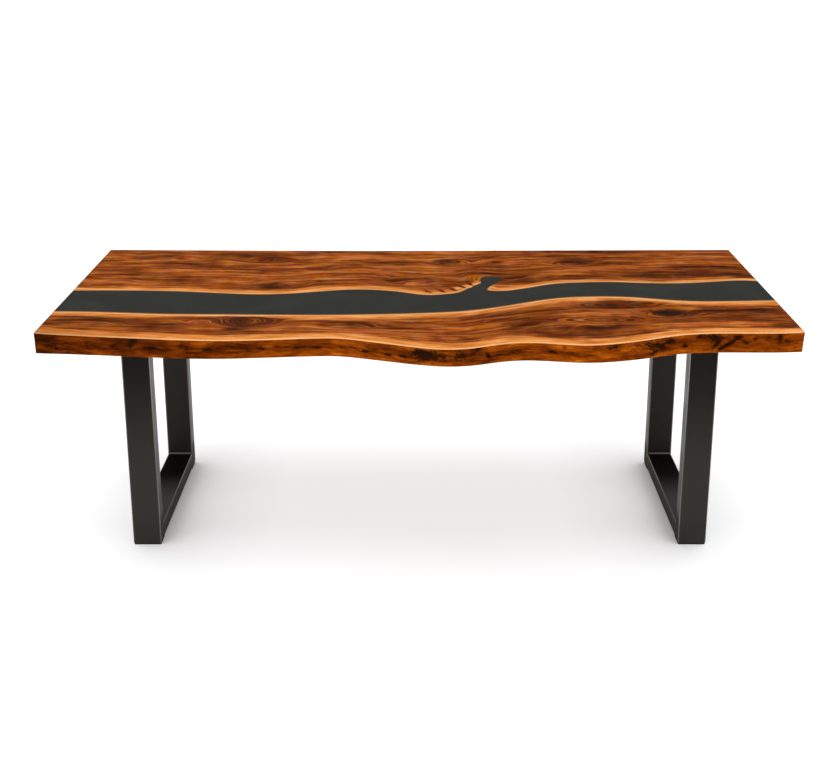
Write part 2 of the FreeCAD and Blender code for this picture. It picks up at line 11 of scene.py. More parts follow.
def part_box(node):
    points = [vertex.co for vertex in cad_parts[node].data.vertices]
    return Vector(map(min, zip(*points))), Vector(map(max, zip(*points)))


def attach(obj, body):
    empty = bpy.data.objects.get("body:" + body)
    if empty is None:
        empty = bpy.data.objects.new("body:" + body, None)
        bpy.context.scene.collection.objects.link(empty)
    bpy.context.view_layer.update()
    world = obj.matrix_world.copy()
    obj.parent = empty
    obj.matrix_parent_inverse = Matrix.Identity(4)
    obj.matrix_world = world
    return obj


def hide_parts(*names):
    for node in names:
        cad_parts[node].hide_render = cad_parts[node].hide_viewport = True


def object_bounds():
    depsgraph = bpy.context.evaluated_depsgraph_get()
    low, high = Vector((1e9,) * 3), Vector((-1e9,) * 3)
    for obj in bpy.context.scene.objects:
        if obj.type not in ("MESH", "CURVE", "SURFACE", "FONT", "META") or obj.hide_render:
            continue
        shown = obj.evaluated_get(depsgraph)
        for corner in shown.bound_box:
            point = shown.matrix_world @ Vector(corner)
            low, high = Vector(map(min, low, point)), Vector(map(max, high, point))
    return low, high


bl_info = {
    "name": "River dining table",
    "version": (1, 0, 0),
    "blender": (4, 5, 0),
    "location": "3D View > Sidebar > Table",
    "description": "Dresses the packed table in live-edge walnut, poured resin and coated steel",
    "category": "Add Mesh",
}

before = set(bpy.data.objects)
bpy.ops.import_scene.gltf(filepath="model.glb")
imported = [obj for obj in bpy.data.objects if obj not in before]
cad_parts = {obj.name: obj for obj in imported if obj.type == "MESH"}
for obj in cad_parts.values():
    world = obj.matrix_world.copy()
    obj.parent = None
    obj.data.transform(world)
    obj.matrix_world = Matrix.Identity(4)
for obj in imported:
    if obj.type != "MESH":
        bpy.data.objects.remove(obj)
CAD_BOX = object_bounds()

MM = 0.001
TOP = CAD_BOX[1].z
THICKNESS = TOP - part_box("front_slab")[0].z
HALF_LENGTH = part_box("front_slab")[1].x
HALF_DEPTH = (CAD_BOX[1].y - CAD_BOX[0].y) / 2
SIDES = ("left", "right")

# The photograph's frame in pixels, and how far its centre lies below the lens's axis
PHOTO_WIDTH = 839
PHOTO_DROP = 84

# The floor lies this far under the pads, so that the two surfaces don't fight, and reaches this
# far on every side. The painted shadow round a rail or a foot reaches as far as the third length,
# and it leans out by these shares of the way from the middle
FLOOR_DROP = -0.2 * MM
FLOOR_REACH = 60.0
PAINTED_SHADOW_REACH = 350 * MM
GLOW_LEAN_SHARES = (1.14, 0.5, 0.0)

# Points closer than this are one point
WELD_GAP = 0.002 * MM
# The CAD outline is read this far down, just under the CAD model's own arris
READ_DEPTH = 4.5 * MM
# Its facets are smoothed away over the first length, and the lean of its banks over the second
LINE_ROUNDING = 6 * MM
LEAN_ROUNDING = 15 * MM
# Where a branch of the river is left out, a side is followed in steps of the first length, and
# what rises above it by more than the second is the branch
ENVELOPE_STEP = 10 * MM
BRANCH_RISE = 14 * MM
# Rows of points down an edge lie about this far apart, and its relief fades out this far from
# the arris
ROW_STEP = 3.4 * MM
RELIEF_FADE = 7 * MM
# The resin is flat and even, so its mesh is coarse
RESIN_STEP = 15 * MM
# Edges that turn by more than this stay crisp
CRISP_TURN = math.radians(35)
# The sections of a weld bead lie this share of a ripple apart
SECTION_SHARE = 1 / 5

# Material places in a slab's mesh
FACE, BARK_EDGE, END_GRAIN = 0, 1, 2

# Sockets of a colour Mix node, whose names repeat
FACTOR, FIRST, SECOND, RESULT = 0, 6, 7, 2

# The bands of a wave texture lie this far apart at a scale of 1
WAVE_PERIOD = 0.314

# One long side of a slab or of the river: its line, how far it leans for each metre down,
# whether its arris is eased, how deep its relief is cut and which material it shows. A bank
# is square, smooth and shows the material of the face
Side = namedtuple("Side", "line lean eased relief place", defaults=(False, 0.0, FACE))

# A place where the grain closes round a knot. The place is in shares of the top's half length
# and half depth, the sizes are in millimetres, and pull is how firmly the grain turns into rings
Knot = namedtuple("Knot", "x_share y_share length width pull")
FRONT_KNOTS = [Knot(*row) for row in (
    (-0.454, -0.535, 92, 64, 1.0), (-0.582, -0.536, 60, 34, 0.6), (-0.182, -0.600, 110, 48, 0.5),
    (0.675, -0.391, 95, 56, 0.72), (0.482, -0.513, 170, 40, 0.8), (0.541, -0.235, 150, 40, 0.8),
    (-0.868, -0.560, 190, 40, 0.5),
)]
REAR_KNOTS = [Knot(*row) for row in (
    (-0.424, 0.175, 110, 60, 0.5), (-0.461, 0.787, 130, 70, 0.5), (0.465, 0.700, 100, 60, 0.6),
    (0.100, 0.714, 95, 60, 0.6), (0.728, 0.394, 240, 60, 0.5), (0.037, 0.251, 190, 75, 0.6),
    (-0.780, 0.820, 170, 60, 0.5), (-0.187, 0.560, 200, 60, 0.4),
)]

# A mark in the wood: its centre in shares, its length and width in millimetres, its turn in
# degrees and its strength, below 0 where the wood is paler. On the top the shares are of the half
# length and the half depth, in the live edge of the half length and of the thickness, down from
# the top
Mark = namedtuple("Mark", "x_share across_share length width turn strength")
FRONT_STAINS = [Mark(*row) for row in (
    (-0.478, -0.690, 100, 26, 0, 0.6), (-0.662, -0.589, 90, 12, 0, 0.8),
    (-0.868, -0.513, 290, 44, -6, 0.5), (-0.182, -0.589, 42, 26, 0, 0.7),
    (-0.070, -0.665, 215, 34, -18, 0.35), (-0.025, -0.842, 40, 24, -50, 0.8),
    (0.042, -0.824, 40, 22, -40, 0.8), (0.113, -0.824, 40, 22, -30, 0.7),
    (0.675, -0.391, 92, 58, 0, 1.3), (0.530, -0.290, 190, 44, 0, 0.6),
    (0.472, -0.663, 250, 34, 4, 0.42), (0.300, -0.520, 160, 28, -8, 0.45),
    (-0.445, -0.535, 170, 84, 0, 0.5), (-0.485, -0.665, 80, 34, 12, 0.5),
    (-0.200, -0.750, 380, 130, 0, -0.80), (-0.090, -0.630, 260, 44, -8, 0.4),
    (-0.720, -0.620, 560, 160, 0, 0.30), (0.560, -0.400, 1000, 280, 0, 0.22),
    (-0.590, -0.480, 260, 30, 0, 0.5),
)]
REAR_STAINS = [Mark(*row) for row in (
    (-0.461, 0.164, 48, 26, 0, 0.85), (-0.424, 0.200, 54, 26, 25, 1.0),
    (-0.385, 0.164, 48, 24, -20, 0.85), (-0.431, 0.110, 64, 22, 0, 0.7),
    (-0.461, 0.787, 90, 34, 10, 0.7), (-0.380, 0.688, 62, 22, 0, 0.9),
    (-0.187, 0.640, 200, 24, -16, 0.6), (-0.061, 0.615, 62, 20, 0, 1.2),
    (0.100, 0.714, 80, 40, 0, 0.8), (0.236, 0.688, 60, 26, 0, 1.1), (0.465, 0.690, 110, 40, 0, 0.9),
    (0.560, 0.960, 70, 26, 0, 0.9), (-0.789, 0.838, 110, 38, 0, 0.6),
    (-0.823, 0.318, 130, 26, 0, 0.6), (-0.577, 0.340, 95, 26, 0, 0.6),
    (0.728, 0.394, 290, 60, 0, 0.5), (0.960, 0.403, 90, 44, 0, 0.8),
    (-0.295, 0.251, 28, 18, 0, 0.9), (-0.096, 0.966, 46, 18, 0, 0.8),
    (0.097, 0.939, 46, 18, 0, 0.8), (-0.386, 0.966, 46, 18, 0, 0.8),
    (0.037, 0.251, 250, 70, 0, 0.5), (0.200, 0.410, 150, 36, 0, 0.9),
    (0.300, 0.270, 90, 30, 30, 0.6), (0.020, 0.040, 44, 10, -60, 1.0),
    (0.060, 0.050, 44, 10, -60, 1.0), (0.095, 0.075, 46, 10, -58, 1.1),
    (0.125, 0.120, 50, 11, -50, 1.1), (0.150, 0.170, 44, 10, -66, 1.1),
    (-0.150, 0.500, 560, 320, 0, -0.34), (0.620, 0.500, 700, 400, 0, 0.20),
    (0.690, 0.170, 240, 40, 0, 0.7),
)]
EDGE_HOLLOWS = [Mark(*row) for row in (
    (-0.940, 0.72, 60, 12, 0, 0.6), (-0.820, 0.50, 190, 90, 0, 0.25),
    (-0.924, 0.38, 38, 15, 0, 0.5), (-0.858, 0.36, 44, 15, 0, 0.5), (-0.789, 0.50, 26, 18, 0, 0.4),
    (-0.736, 0.15, 22, 14, 0, 1.0), (-0.747, 0.46, 14, 7, 0, 1.0), (-0.691, 0.49, 42, 12, 0, 0.7),
    (-0.596, 0.53, 18, 10, 0, 1.1), (-0.542, 0.49, 26, 10, 0, 1.0), (-0.449, 0.30, 95, 22, 0, 0.5),
    (-0.403, 0.50, 26, 10, -8, 1.0), (-0.366, 0.38, 16, 7, 0, 1.0), (-0.316, 0.47, 14, 7, 0, 1.0),
    (-0.307, 0.06, 20, 9, 0, 1.0), (-0.267, 0.50, 42, 8, 0, 1.0), (-0.201, 0.50, 18, 7, 0, 0.8),
    (-0.141, 0.58, 26, 9, 0, 0.8), (-0.081, 0.62, 24, 9, 0, 0.9), (-0.045, 0.60, 24, 9, 0, 0.9),
    (0.005, 0.25, 54, 30, 0, 0.75), (0.034, 0.45, 84, 36, 0, 0.62), (0.107, 0.42, 54, 24, 0, 0.8),
    (0.147, 0.12, 30, 14, 20, 1.0), (0.000, 0.70, 260, 40, 0, 0.3), (0.460, 0.82, 190, 30, 0, -0.8),
    (-0.130, 0.15, 90, 20, 0, -0.8), (0.220, 0.15, 120, 20, 0, -0.6),
    (0.173, 0.55, 28, 12, -50, 1.0), (0.246, 0.45, 64, 6, 15, 0.9), (0.336, 0.50, 26, 13, 0, 1.1),
    (0.366, 0.20, 13, 20, 0, 0.8), (0.386, 0.52, 32, 10, -20, 0.8), (0.491, 0.20, 32, 12, 20, 0.9),
    (0.573, 0.40, 76, 40, 10, 0.62), (0.621, 0.48, 56, 30, -30, 0.7), (0.649, 0.28, 30, 18, 0, 1.0),
    (0.687, 0.60, 16, 13, 0, 1.2), (0.724, 0.15, 24, 14, 50, 1.0), (0.763, 0.28, 46, 36, -30, 0.9),
    (0.792, 0.70, 50, 10, 40, 1.1), (0.823, 0.20, 28, 10, 0, 1.0), (0.770, 0.62, 44, 8, 52, 1.0),
    (0.815, 0.45, 44, 8, 40, 1.0), (0.600, 0.80, 40, 9, 40, 0.9), (0.872, 0.30, 18, 9, 20, 0.9),
    (0.905, 0.20, 14, 10, 0, 0.9), (0.955, 0.42, 14, 14, 0, 0.9), (0.846, 0.45, 32, 11, -30, 1.0),
    (0.936, 0.30, 15, 34, 0, 1.0),
)]


def linear(hex_colour):
    """An sRGB hex colour as the linear red, green, blue and alpha that a socket takes."""
    shares = [int(hex_colour[k:k + 2], 16) / 255 for k in (1, 3, 5)]
    return (*(c / 12.92 if c <= 0.04045 else ((c + 0.055) / 1.055) ** 2.4 for c in shares), 1.0)


def length_setting(name, description, default, **more):
    return bpy.props.FloatProperty(
        name=name, description=description, default=default, unit="LENGTH", precision=4, **more
    )


def colour_setting(name, description, hex_colour):
    return bpy.props.FloatVectorProperty(
        name=name, description=description, default=linear(hex_colour), size=4, min=0, max=1,
        subtype="COLOR",
    )


class SlabSettings(bpy.types.PropertyGroup):
    """Sizes of the two walnut slabs and the river between them."""

    face_step: length_setting("Face step", "Distance between mesh points on the top faces", 6 * MM)
    edge_step: length_setting("Edge step", "Distance between mesh points along the edges", 5 * MM)
    arris: length_setting("Arris", "Radius sanded onto the outer edges of the top", 3 * MM)
    relief: length_setting("Relief", "Depth of the hollows in the live edge", 3.2 * MM)
    front_bank: length_setting("Front bank", "Width of the front slab's pale bank", 60 * MM)
    rear_bank: length_setting("Rear bank", "Width of the rear slab's pale bank", 45 * MM)
    edge_sapwood: length_setting("Edge sapwood", "Width of the pale wood at the live edge", 49 * MM)
    front_grain: length_setting("Front grain", "Width of grain across the front slab", 340 * MM)
    rear_grain: length_setting("Rear grain", "Width of grain across the rear slab", 550 * MM)
    groove_play: length_setting("Groove play", "Gap round a stiffener in its groove", 0.5 * MM)


class FinishSettings(bpy.types.PropertyGroup):
    """Colours of the finishes."""

    walnut_dark: colour_setting("Dark walnut", "Darkest streaks of the heartwood", "#361404")
    walnut_mid: colour_setting("Walnut", "Most of the heartwood", "#93460F")
    walnut_light: colour_setting("Light walnut", "Lightest streaks of the heartwood", "#BC6322")
    sapwood: colour_setting("Sapwood", "The pale wood under the bark", "#E88A3A")
    bark_edge: colour_setting("Live edge", "The oiled natural edge", "#7C3402")
    resin: colour_setting("Resin", "The charcoal pigment in the resin", "#333330")
    steel_coat: colour_setting("Steel coat", "The powder coat of the leg frames", "#151310")
    zinc: colour_setting("Zinc", "Plating of the bolts, washers and screws", "#B9BABA")
    brass: colour_setting("Brass", "The threaded inserts", "#B98E4A")
    rubber: colour_setting("Rubber", "The foot pads", "#151515")
    floor: colour_setting("Floor", "The pale floor", "#CFCFCF")
    light_table: colour_setting("Light table", "The light under the opal floor", "#F8FCFF")


class FrameSettings(bpy.types.PropertyGroup):
    """Sizes of the weld beads on the leg frames."""

    bead: length_setting("Bead", "Leg length of a weld bead", 5 * MM)
    ripple: length_setting("Ripple", "Distance between the ripples of a weld bead", 2.4 * MM)
    tube_corner: length_setting("Tube corner", "Outer corner radius of the tube", 6 * MM)


class StageSettings(bpy.types.PropertyGroup):
    """The camera, the floor and the lights."""

    lens: bpy.props.FloatProperty(
        name="Lens", description="Focal length on a 36 mm sensor, in millimetres", default=54.61
    )
    camera_right: length_setting("Camera right", "Camera's place right of the middle", -0.5 * MM)
    camera_back: length_setting("Camera back", "Distance of the camera before the origin", 3.985)
    camera_height: length_setting("Camera height", "Height of the camera", 1.9305)
    camera_tilt: bpy.props.FloatProperty(
        name="Camera tilt", description="How far the camera looks down",
        default=math.radians(16.556), subtype="ANGLE",
    )
    softbox: bpy.props.FloatProperty(
        name="Softbox", description="Light of the overhead softbox, in watts a square metre",
        default=1.35,
    )
    softbox_spread: bpy.props.FloatProperty(
        name="Softbox spread", description="How wide the softbox looks from the floor",
        default=math.radians(50), subtype="ANGLE",
    )
    floor_glow: bpy.props.FloatProperty(
        name="Floor glow", description="Light that the opal floor gives by itself", default=0.62
    )


def add(tree, kind, sockets=None, out=0, stops=(), **settings):
    """Adds one shader node with its settings, fills or links its sockets, returns an output.

    The first two stops of a ramp are its ends, and a text is an sRGB hex colour.
    """
    made = tree.nodes.new("ShaderNode" + kind)
    for name, value in settings.items():
        setattr(made, name, value)
    for index, (place, colour) in enumerate(stops):
        ramp = made.color_ramp.elements
        element = ramp[index] if index < 2 else ramp.new(place)
        element.position = place
        element.color = linear(colour) if isinstance(colour, str) else colour
    for socket, value in (sockets or {}).items():
        if isinstance(value, bpy.types.NodeSocket):
            tree.links.new(value, made.inputs[socket])
        else:
            value = linear(value) if isinstance(value, str) else value
            made.inputs[socket].default_value = value
    return made.outputs[out] if made.outputs else None


def new_finish(name, grained=False):
    """A new material, its tree and what its patterns follow: the wood's grain or plain places."""
    material = bpy.data.materials.new(name)
    material.use_nodes = True
    tree = material.node_tree
    tree.nodes.clear()
    if grained:
        return material, tree, add(tree, "Attribute", out="Vector", attribute_name="grain")
    return material, tree, add(tree, "TexCoord", out="Object")


def seal(tree, skin=None, **sockets):
    """Ends a material with one surface shader; a skin is a pattern, its strength and its mm."""
    named = {name.replace("_", " "): value for name, value in sockets.items()}
    if skin:
        pattern, strength, depth = skin
        named["Normal"] = add(
            tree, "Bump",
            {"Height": pattern, "Strength": strength, "Distance": depth * MM}, out="Normal",
        )
    shader = add(tree, "BsdfPrincipled", named)
    add(tree, "OutputMaterial", {"Surface": shader})


def streaks(tree, grain, length, width, detail=2.0, roughness=0.55):
    """Streaks of noise along the grain: length and width in millimetres, detail, roughness."""
    scaled = add(
        tree, "VectorMath",
        {0: grain, 1: (1 / (length * MM), 1 / (width * MM), 1 / (width * MM))},
        operation="MULTIPLY",
    )
    return add(
        tree, "TexNoise", {"Vector": scaled, "Scale": 1.0, "Detail": detail, "Roughness": roughness}
    )


def flecks(tree, place, size, detail=2.0):
    """Even noise of one size in millimetres, such as dust, grit or haze."""
    return streaks(tree, place, size, size, detail, 0.5)


def drifting(tree, grain, size, reach):
    """The grain's coordinates, bent by noise of one size so that no streak runs dead straight."""
    wander = add(tree, "TexNoise", {"Vector": grain, "Scale": 1 / size, "Detail": 2.0}, out="Color")
    return add(tree, "VectorMath", {0: wander, 1: reach, 2: grain}, operation="MULTIPLY_ADD")


def summed(tree, base, *terms):
    """A base plus each pattern times its weight."""
    for pattern, weight in terms:
        base = add(tree, "Math", {0: pattern, 1: weight, 2: base}, operation="MULTIPLY_ADD")
    return base


def balanced(tree, base, *terms):
    """A base plus each pattern's swing about its middle, times its weight."""
    return summed(tree, base - sum(weight for _, weight in terms) / 2, *terms)


def fade(tree, value, start, end, low=0.0, high=1.0, times=None):
    """Low before start, high after end and a smooth step between, times another share if given."""
    share = add(
        tree, "MapRange",
        {"Value": value, "From Min": start, "From Max": end, "To Min": low, "To Max": high},
        interpolation_type="SMOOTHSTEP",
    )
    if times is None:
        return share
    return add(tree, "Math", {0: share, 1: times}, operation="MULTIPLY")


def layered(tree, colour, *coats):
    """A colour with one coat after another laid over it, each by its own share."""
    for share, coat_colour in coats:
        colour = add(
            tree, "Mix", {FACTOR: share, FIRST: colour, SECOND: coat_colour},
            out=RESULT, data_type="RGBA",
        )
    return colour


def oiled_walnut_face(finish, slabs):
    """Walnut planed, sanded and oiled: figure, rings round the knots, black mineral streaks."""
    material, tree, grain = new_finish("walnut_sanded_and_oiled", grained=True)
    live_gap, bank_share, stain, ringed = (
        add(tree, "Attribute", out="Fac", attribute_name=name)
        for name in ("live_gap", "bank_share", "stain", "ringed")
    )
    flow = drifting(tree, grain, 150 * MM, (50 * MM, 30 * MM, 0.0))
    broad = streaks(tree, flow, 420, 70, 3)
    clouds = streaks(tree, flow, 150, 46, 3)
    bands = streaks(tree, flow, 210, 22, 4, 0.62)
    fine = streaks(tree, flow, 420, 8)
    ripple = streaks(tree, flow, 40, 110)
    fibre = streaks(tree, flow, 30, 1.3)
    edged = fade(tree, streaks(tree, flow, 280, 13, 4, 0.65), 0.45, 0.55)
    tone = balanced(
        tree, 0.55, (broad, 1.4), (clouds, 1.0), (bands, 1.2), (fine, 0.5), (ripple, 0.3),
        (fibre, 0.2), (edged, 0.14),
    )
    tone = summed(tree, tone, (stain, -0.30))
    heartwood = add(
        tree, "ValToRGB", {"Fac": tone}, out="Color",
        stops=[
            (0.0, finish.walnut_dark), (1.0, "#DC8444"), (0.28, "#662D09"),
            (0.52, finish.walnut_mid), (0.74, finish.walnut_light),
        ],
    )
    # Crisp veins: brown where the log took up minerals, amber where the growth was quick
    brown_vein = streaks(tree, flow, 230, 17, 5, 0.7)
    aside = drifting(tree, flow, 300 * MM, (400 * MM, 200 * MM, 0.0))
    amber_vein = streaks(tree, aside, 190, 20, 4, 0.65)
    wood = layered(
        tree, heartwood, (fade(tree, brown_vein, 0.56, 0.62, 0.0, 0.45), "#52220E"),
        (fade(tree, amber_vein, 0.58, 0.66, 0.0, 0.45), "#CC7632"),
    )
    # Heartwood drifts between red and olive brown, and greys a little in places
    redness = streaks(tree, aside, 110, 15, 3)
    greyness = streaks(tree, aside, 60, 24, 3)
    wood = add(
        tree, "HueSaturation",
        {
            "Color": wood, "Hue": fade(tree, redness, 0.36, 0.64, 0.508, 0.492),
            "Saturation": fade(tree, greyness, 0.36, 0.64, 0.965, 1.03),
        },
    )
    # Late wood closes each year's growth with a thin dark line, every 8 mm in quick-grown
    # wood. It is strongest in the rings round a knot
    years = add(
        tree, "TexWave",
        {"Vector": flow, "Scale": WAVE_PERIOD / (8 * MM), "Distortion": 1.2, "Detail": 2.0,
         "Detail Scale": 0.35},
        out="Fac", bands_direction="Y",
    )
    ring_line = fade(tree, years, 0.5, 0.85, times=summed(tree, 0.10, (ringed, 0.80)))
    sap_grain = streaks(tree, flow, 240, 11, 4, 0.6)
    sap_patch = streaks(tree, flow, 110, 26, 3)
    sap_tone = balanced(tree, 0.52, (sap_grain, 1.0), (sap_patch, 0.9))
    sap_wood = add(
        tree, "ValToRGB", {"Fac": sap_tone}, out="Color",
        stops=[(0.28, "#BC6620"), (0.70, "#FFB068"), (0.5, finish.sapwood)],
    )
    border = streaks(tree, flow, 200, 30, 4, 0.65)
    near_live = summed(tree, live_gap, (border, 70 * MM))
    near_bank = summed(tree, bank_share, (stain, 1.3), (border, 1.6))
    live_sap = fade(
        tree, near_live, slabs.edge_sapwood + 20 * MM, slabs.edge_sapwood + 40 * MM, 1.0, 0.0
    )
    bank_sap = fade(tree, near_bank, 1.35, 2.05, 1.0, 0.0)
    sap = add(tree, "Math", {0: live_sap, 1: bank_sap}, operation="MAXIMUM")
    # Painted highlight: the pale rim along the live edge stands for the light on the eased arris.
    # Along the bank the rim is paler wood
    live_edge_painted_highlight = fade(tree, live_gap, 2 * MM, 9 * MM, 0.9, 0.0)
    bank_rim = fade(tree, bank_share, 0.16, 0.40, 0.7, 0.0)
    rim = add(tree, "Math", {0: live_edge_painted_highlight, 1: bank_rim}, operation="MAXIMUM")
    # A film of bark stays between the wood and the resin
    film = fade(tree, bank_share, 0.08, 0.20, 0.8, 0.0)
    # Towards the log's butt, at the left end, the pale wood took more colour from the bark
    along = add(tree, "SeparateXYZ", {"Vector": grain})
    tanned = fade(tree, along, -HALF_LENGTH, -0.55 * HALF_LENGTH, 0.5, 0.0, times=live_sap)
    # Mineral streaks: the stained places break up along the grain, brown and, where the
    # stain is strongest, near black
    breakup = streaks(tree, flow, 64, 11, 5, 0.7)
    mark = summed(tree, balanced(tree, 0.0, (breakup, 2.2)), (stain, 0.9))
    mark = fade(tree, mark, 0.58, 0.86, 0.0, 0.9)
    mineral = layered(tree, "#4A2812", (fade(tree, stain, 0.6, 1.1), "#28170A"))
    # Open pores are 0.2 mm wide, drawn twice as wide so that a close view shows them
    pores = fade(tree, streaks(tree, flow, 7, 0.45, 1), 0.62, 0.70, 0.0, 0.3)
    wood = layered(
        tree, wood, (ring_line, "#32180C"), (sap, sap_wood), (rim, "#FFC080"), (film, "#4A3524"),
        (tanned, "#94480F"), (mark, mineral), (pores, "#3A1B0C"),
    )
    sheen = fade(tree, fibre, 0.3, 0.7, 0.28, 0.40)
    height = balanced(tree, 0.0, (fibre, 0.5), (bands, 0.5))
    seal(
        tree, skin=(height, 0.2, 0.15), Base_Color=wood, Roughness=sheen, IOR=1.5,
        Specular_IOR_Level=0.08,
    )
    return material


def oiled_bark_edge(finish):
    """Natural edge, peeled of bark, brushed and oiled: amber with dark hollows and torn fibres."""
    material, tree, grain = new_finish("walnut_live_edge_oiled", grained=True)
    hollow, torn = (
        add(tree, "Attribute", out="Fac", attribute_name=name) for name in ("hollow", "torn")
    )
    flow = drifting(tree, grain, 70 * MM, (40 * MM, 20 * MM, 24 * MM))
    patches = streaks(tree, flow, 130, 24, 3)
    strokes = streaks(tree, flow, 64, 9, 3)
    fibre = streaks(tree, flow, 22, 1.6)
    tone = balanced(tree, 0.54, (patches, 1.2), (strokes, 0.9), (fibre, 0.25))
    tone = summed(tree, tone, (hollow, -0.14), (torn, -0.16))
    # Painted light and shade: the edge is paler near the top and paler still near the bottom than
    # in its middle, and has painted shade towards its left end, darkest right at it
    along = add(tree, "SeparateXYZ", {"Vector": grain})
    depth = add(tree, "SeparateXYZ", {"Vector": grain}, out="Z")
    painted_light_near_top = fade(tree, depth, 0.04 * THICKNESS, 0.34 * THICKNESS, 0.10, 0.0)
    below = fade(tree, depth, 0.44 * THICKNESS, 0.76 * THICKNESS, 0.0, 0.16)
    left = fade(tree, along, -HALF_LENGTH, -0.25 * HALF_LENGTH, -0.24, 0.0)
    painted_shade_at_left_end = fade(tree, along, -HALF_LENGTH, -0.84 * HALF_LENGTH, -0.22, 0.0)
    tone = summed(tree, tone, (painted_light_near_top, 1.0), (below, 1.0), (left, 1.0), (painted_shade_at_left_end, 1.0))
    wood = add(
        tree, "ValToRGB", {"Fac": tone}, out="Color",
        stops=[
            (0.0, "#2A0D00"), (1.0, "#DC8018"), (0.25, "#511D00"), (0.5, finish.bark_edge),
            (0.78, "#AA5005"),
        ],
    )
    # In the hollows, where bark and torn fibres stay, the wood is a near-black olive brown,
    # crossed by torn fibres that stand up out of the dark
    crossed = add(
        tree, "VectorRotate", {"Vector": flow, "Angle": math.radians(38)}, rotation_type="Y_AXIS"
    )
    scratches = streaks(tree, crossed, 34, 5, 3)
    pits = streaks(tree, flow, 26, 12, 4, 0.65)
    marks = balanced(tree, 0.0, (pits, 1.1), (scratches, 1.9))
    marks = fade(tree, summed(tree, marks, (torn, 1.0)), 0.40, 0.80, 0.0, 0.92)
    specks = fade(tree, streaks(tree, flow, 20, 6, 4, 0.6), 0.62, 0.68, 0.0, 0.7)
    marks = add(tree, "Math", {0: marks, 1: specks}, operation="MAXIMUM")
    wood = layered(tree, wood, (marks, "#1E0D01"))
    height = balanced(tree, 0.0, (strokes, 1.0), (fibre, 0.6))
    seal(
        tree, skin=(height, 0.5, 1.2), Base_Color=wood, Roughness=0.6, IOR=1.5,
        Specular_IOR_Level=0.01,
    )
    return material


def sawn_end_grain(finish):
    """Walnut cut across, sanded and oiled: arcs of growth rings and dark pores."""
    material, tree, grain = new_finish("walnut_end_grain_oiled", grained=True)
    # Rings curve round the heart of the log, 170 mm across the board and 160 mm down
    from_heart = add(
        tree, "VectorMath", {0: grain, 1: (0.0, 1.0, 1.0), 2: (0.0, -170 * MM, -160 * MM)},
        operation="MULTIPLY_ADD",
    )
    radius = add(tree, "VectorMath", {0: from_heart}, out="Value", operation="LENGTH")
    radius = summed(tree, radius, (flecks(tree, grain, 60), 20 * MM))
    rings, spread = (
        add(
            tree, "TexNoise", {"W": radius, "Scale": 1 / (size * MM), "Detail": 2.0},
            noise_dimensions="1D",
        )
        for size in (5, 28)
    )
    pores = flecks(tree, grain, 1.4, 1)
    tone = balanced(tree, 0.42, (rings, 1.2), (spread, 1.4), (pores, 0.3))
    wood = add(
        tree, "ValToRGB", {"Fac": tone}, out="Color",
        stops=[
            (0.0, finish.walnut_dark), (1.0, finish.walnut_light), (0.35, "#5E2A10"),
            (0.65, finish.walnut_mid),
        ],
    )
    wood = layered(tree, wood, (fade(tree, pores, 0.60, 0.68, 0.0, 0.5), "#2A130A"))
    seal(
        tree, skin=(pores, 0.3, 0.2), Base_Color=wood, Roughness=0.5, IOR=1.5,
        Specular_IOR_Level=0.22,
    )
    return material


def poured_resin(finish):
    """Epoxy poured with charcoal pigment, sanded and buffed: even, deep and satin."""
    material, tree, place = new_finish("epoxy_poured_charcoal_satin")
    clouds = add(
        tree, "TexNoise",
        {"Vector": place, "Scale": 1 / (240 * MM), "Detail": 3.0, "Distortion": 1.2},
    )
    tone = balanced(tree, 0.5, (clouds, 1.3), (flecks(tree, place, 14, 3), 0.5))
    colour = add(
        tree, "ValToRGB", {"Fac": tone}, out="Color",
        stops=[(0.2, "#30302C"), (0.9, "#3B3B37"), (0.5, finish.resin)],
    )
    scuffs = flecks(tree, place, 3, 4)
    buffed = fade(tree, scuffs, 0.3, 0.7, 0.30, 0.40)
    seal(
        tree, skin=(scuffs, 0.05, 0.05), Base_Color=colour, Roughness=buffed, IOR=1.55,
        Specular_IOR_Level=0.25,
    )
    return material


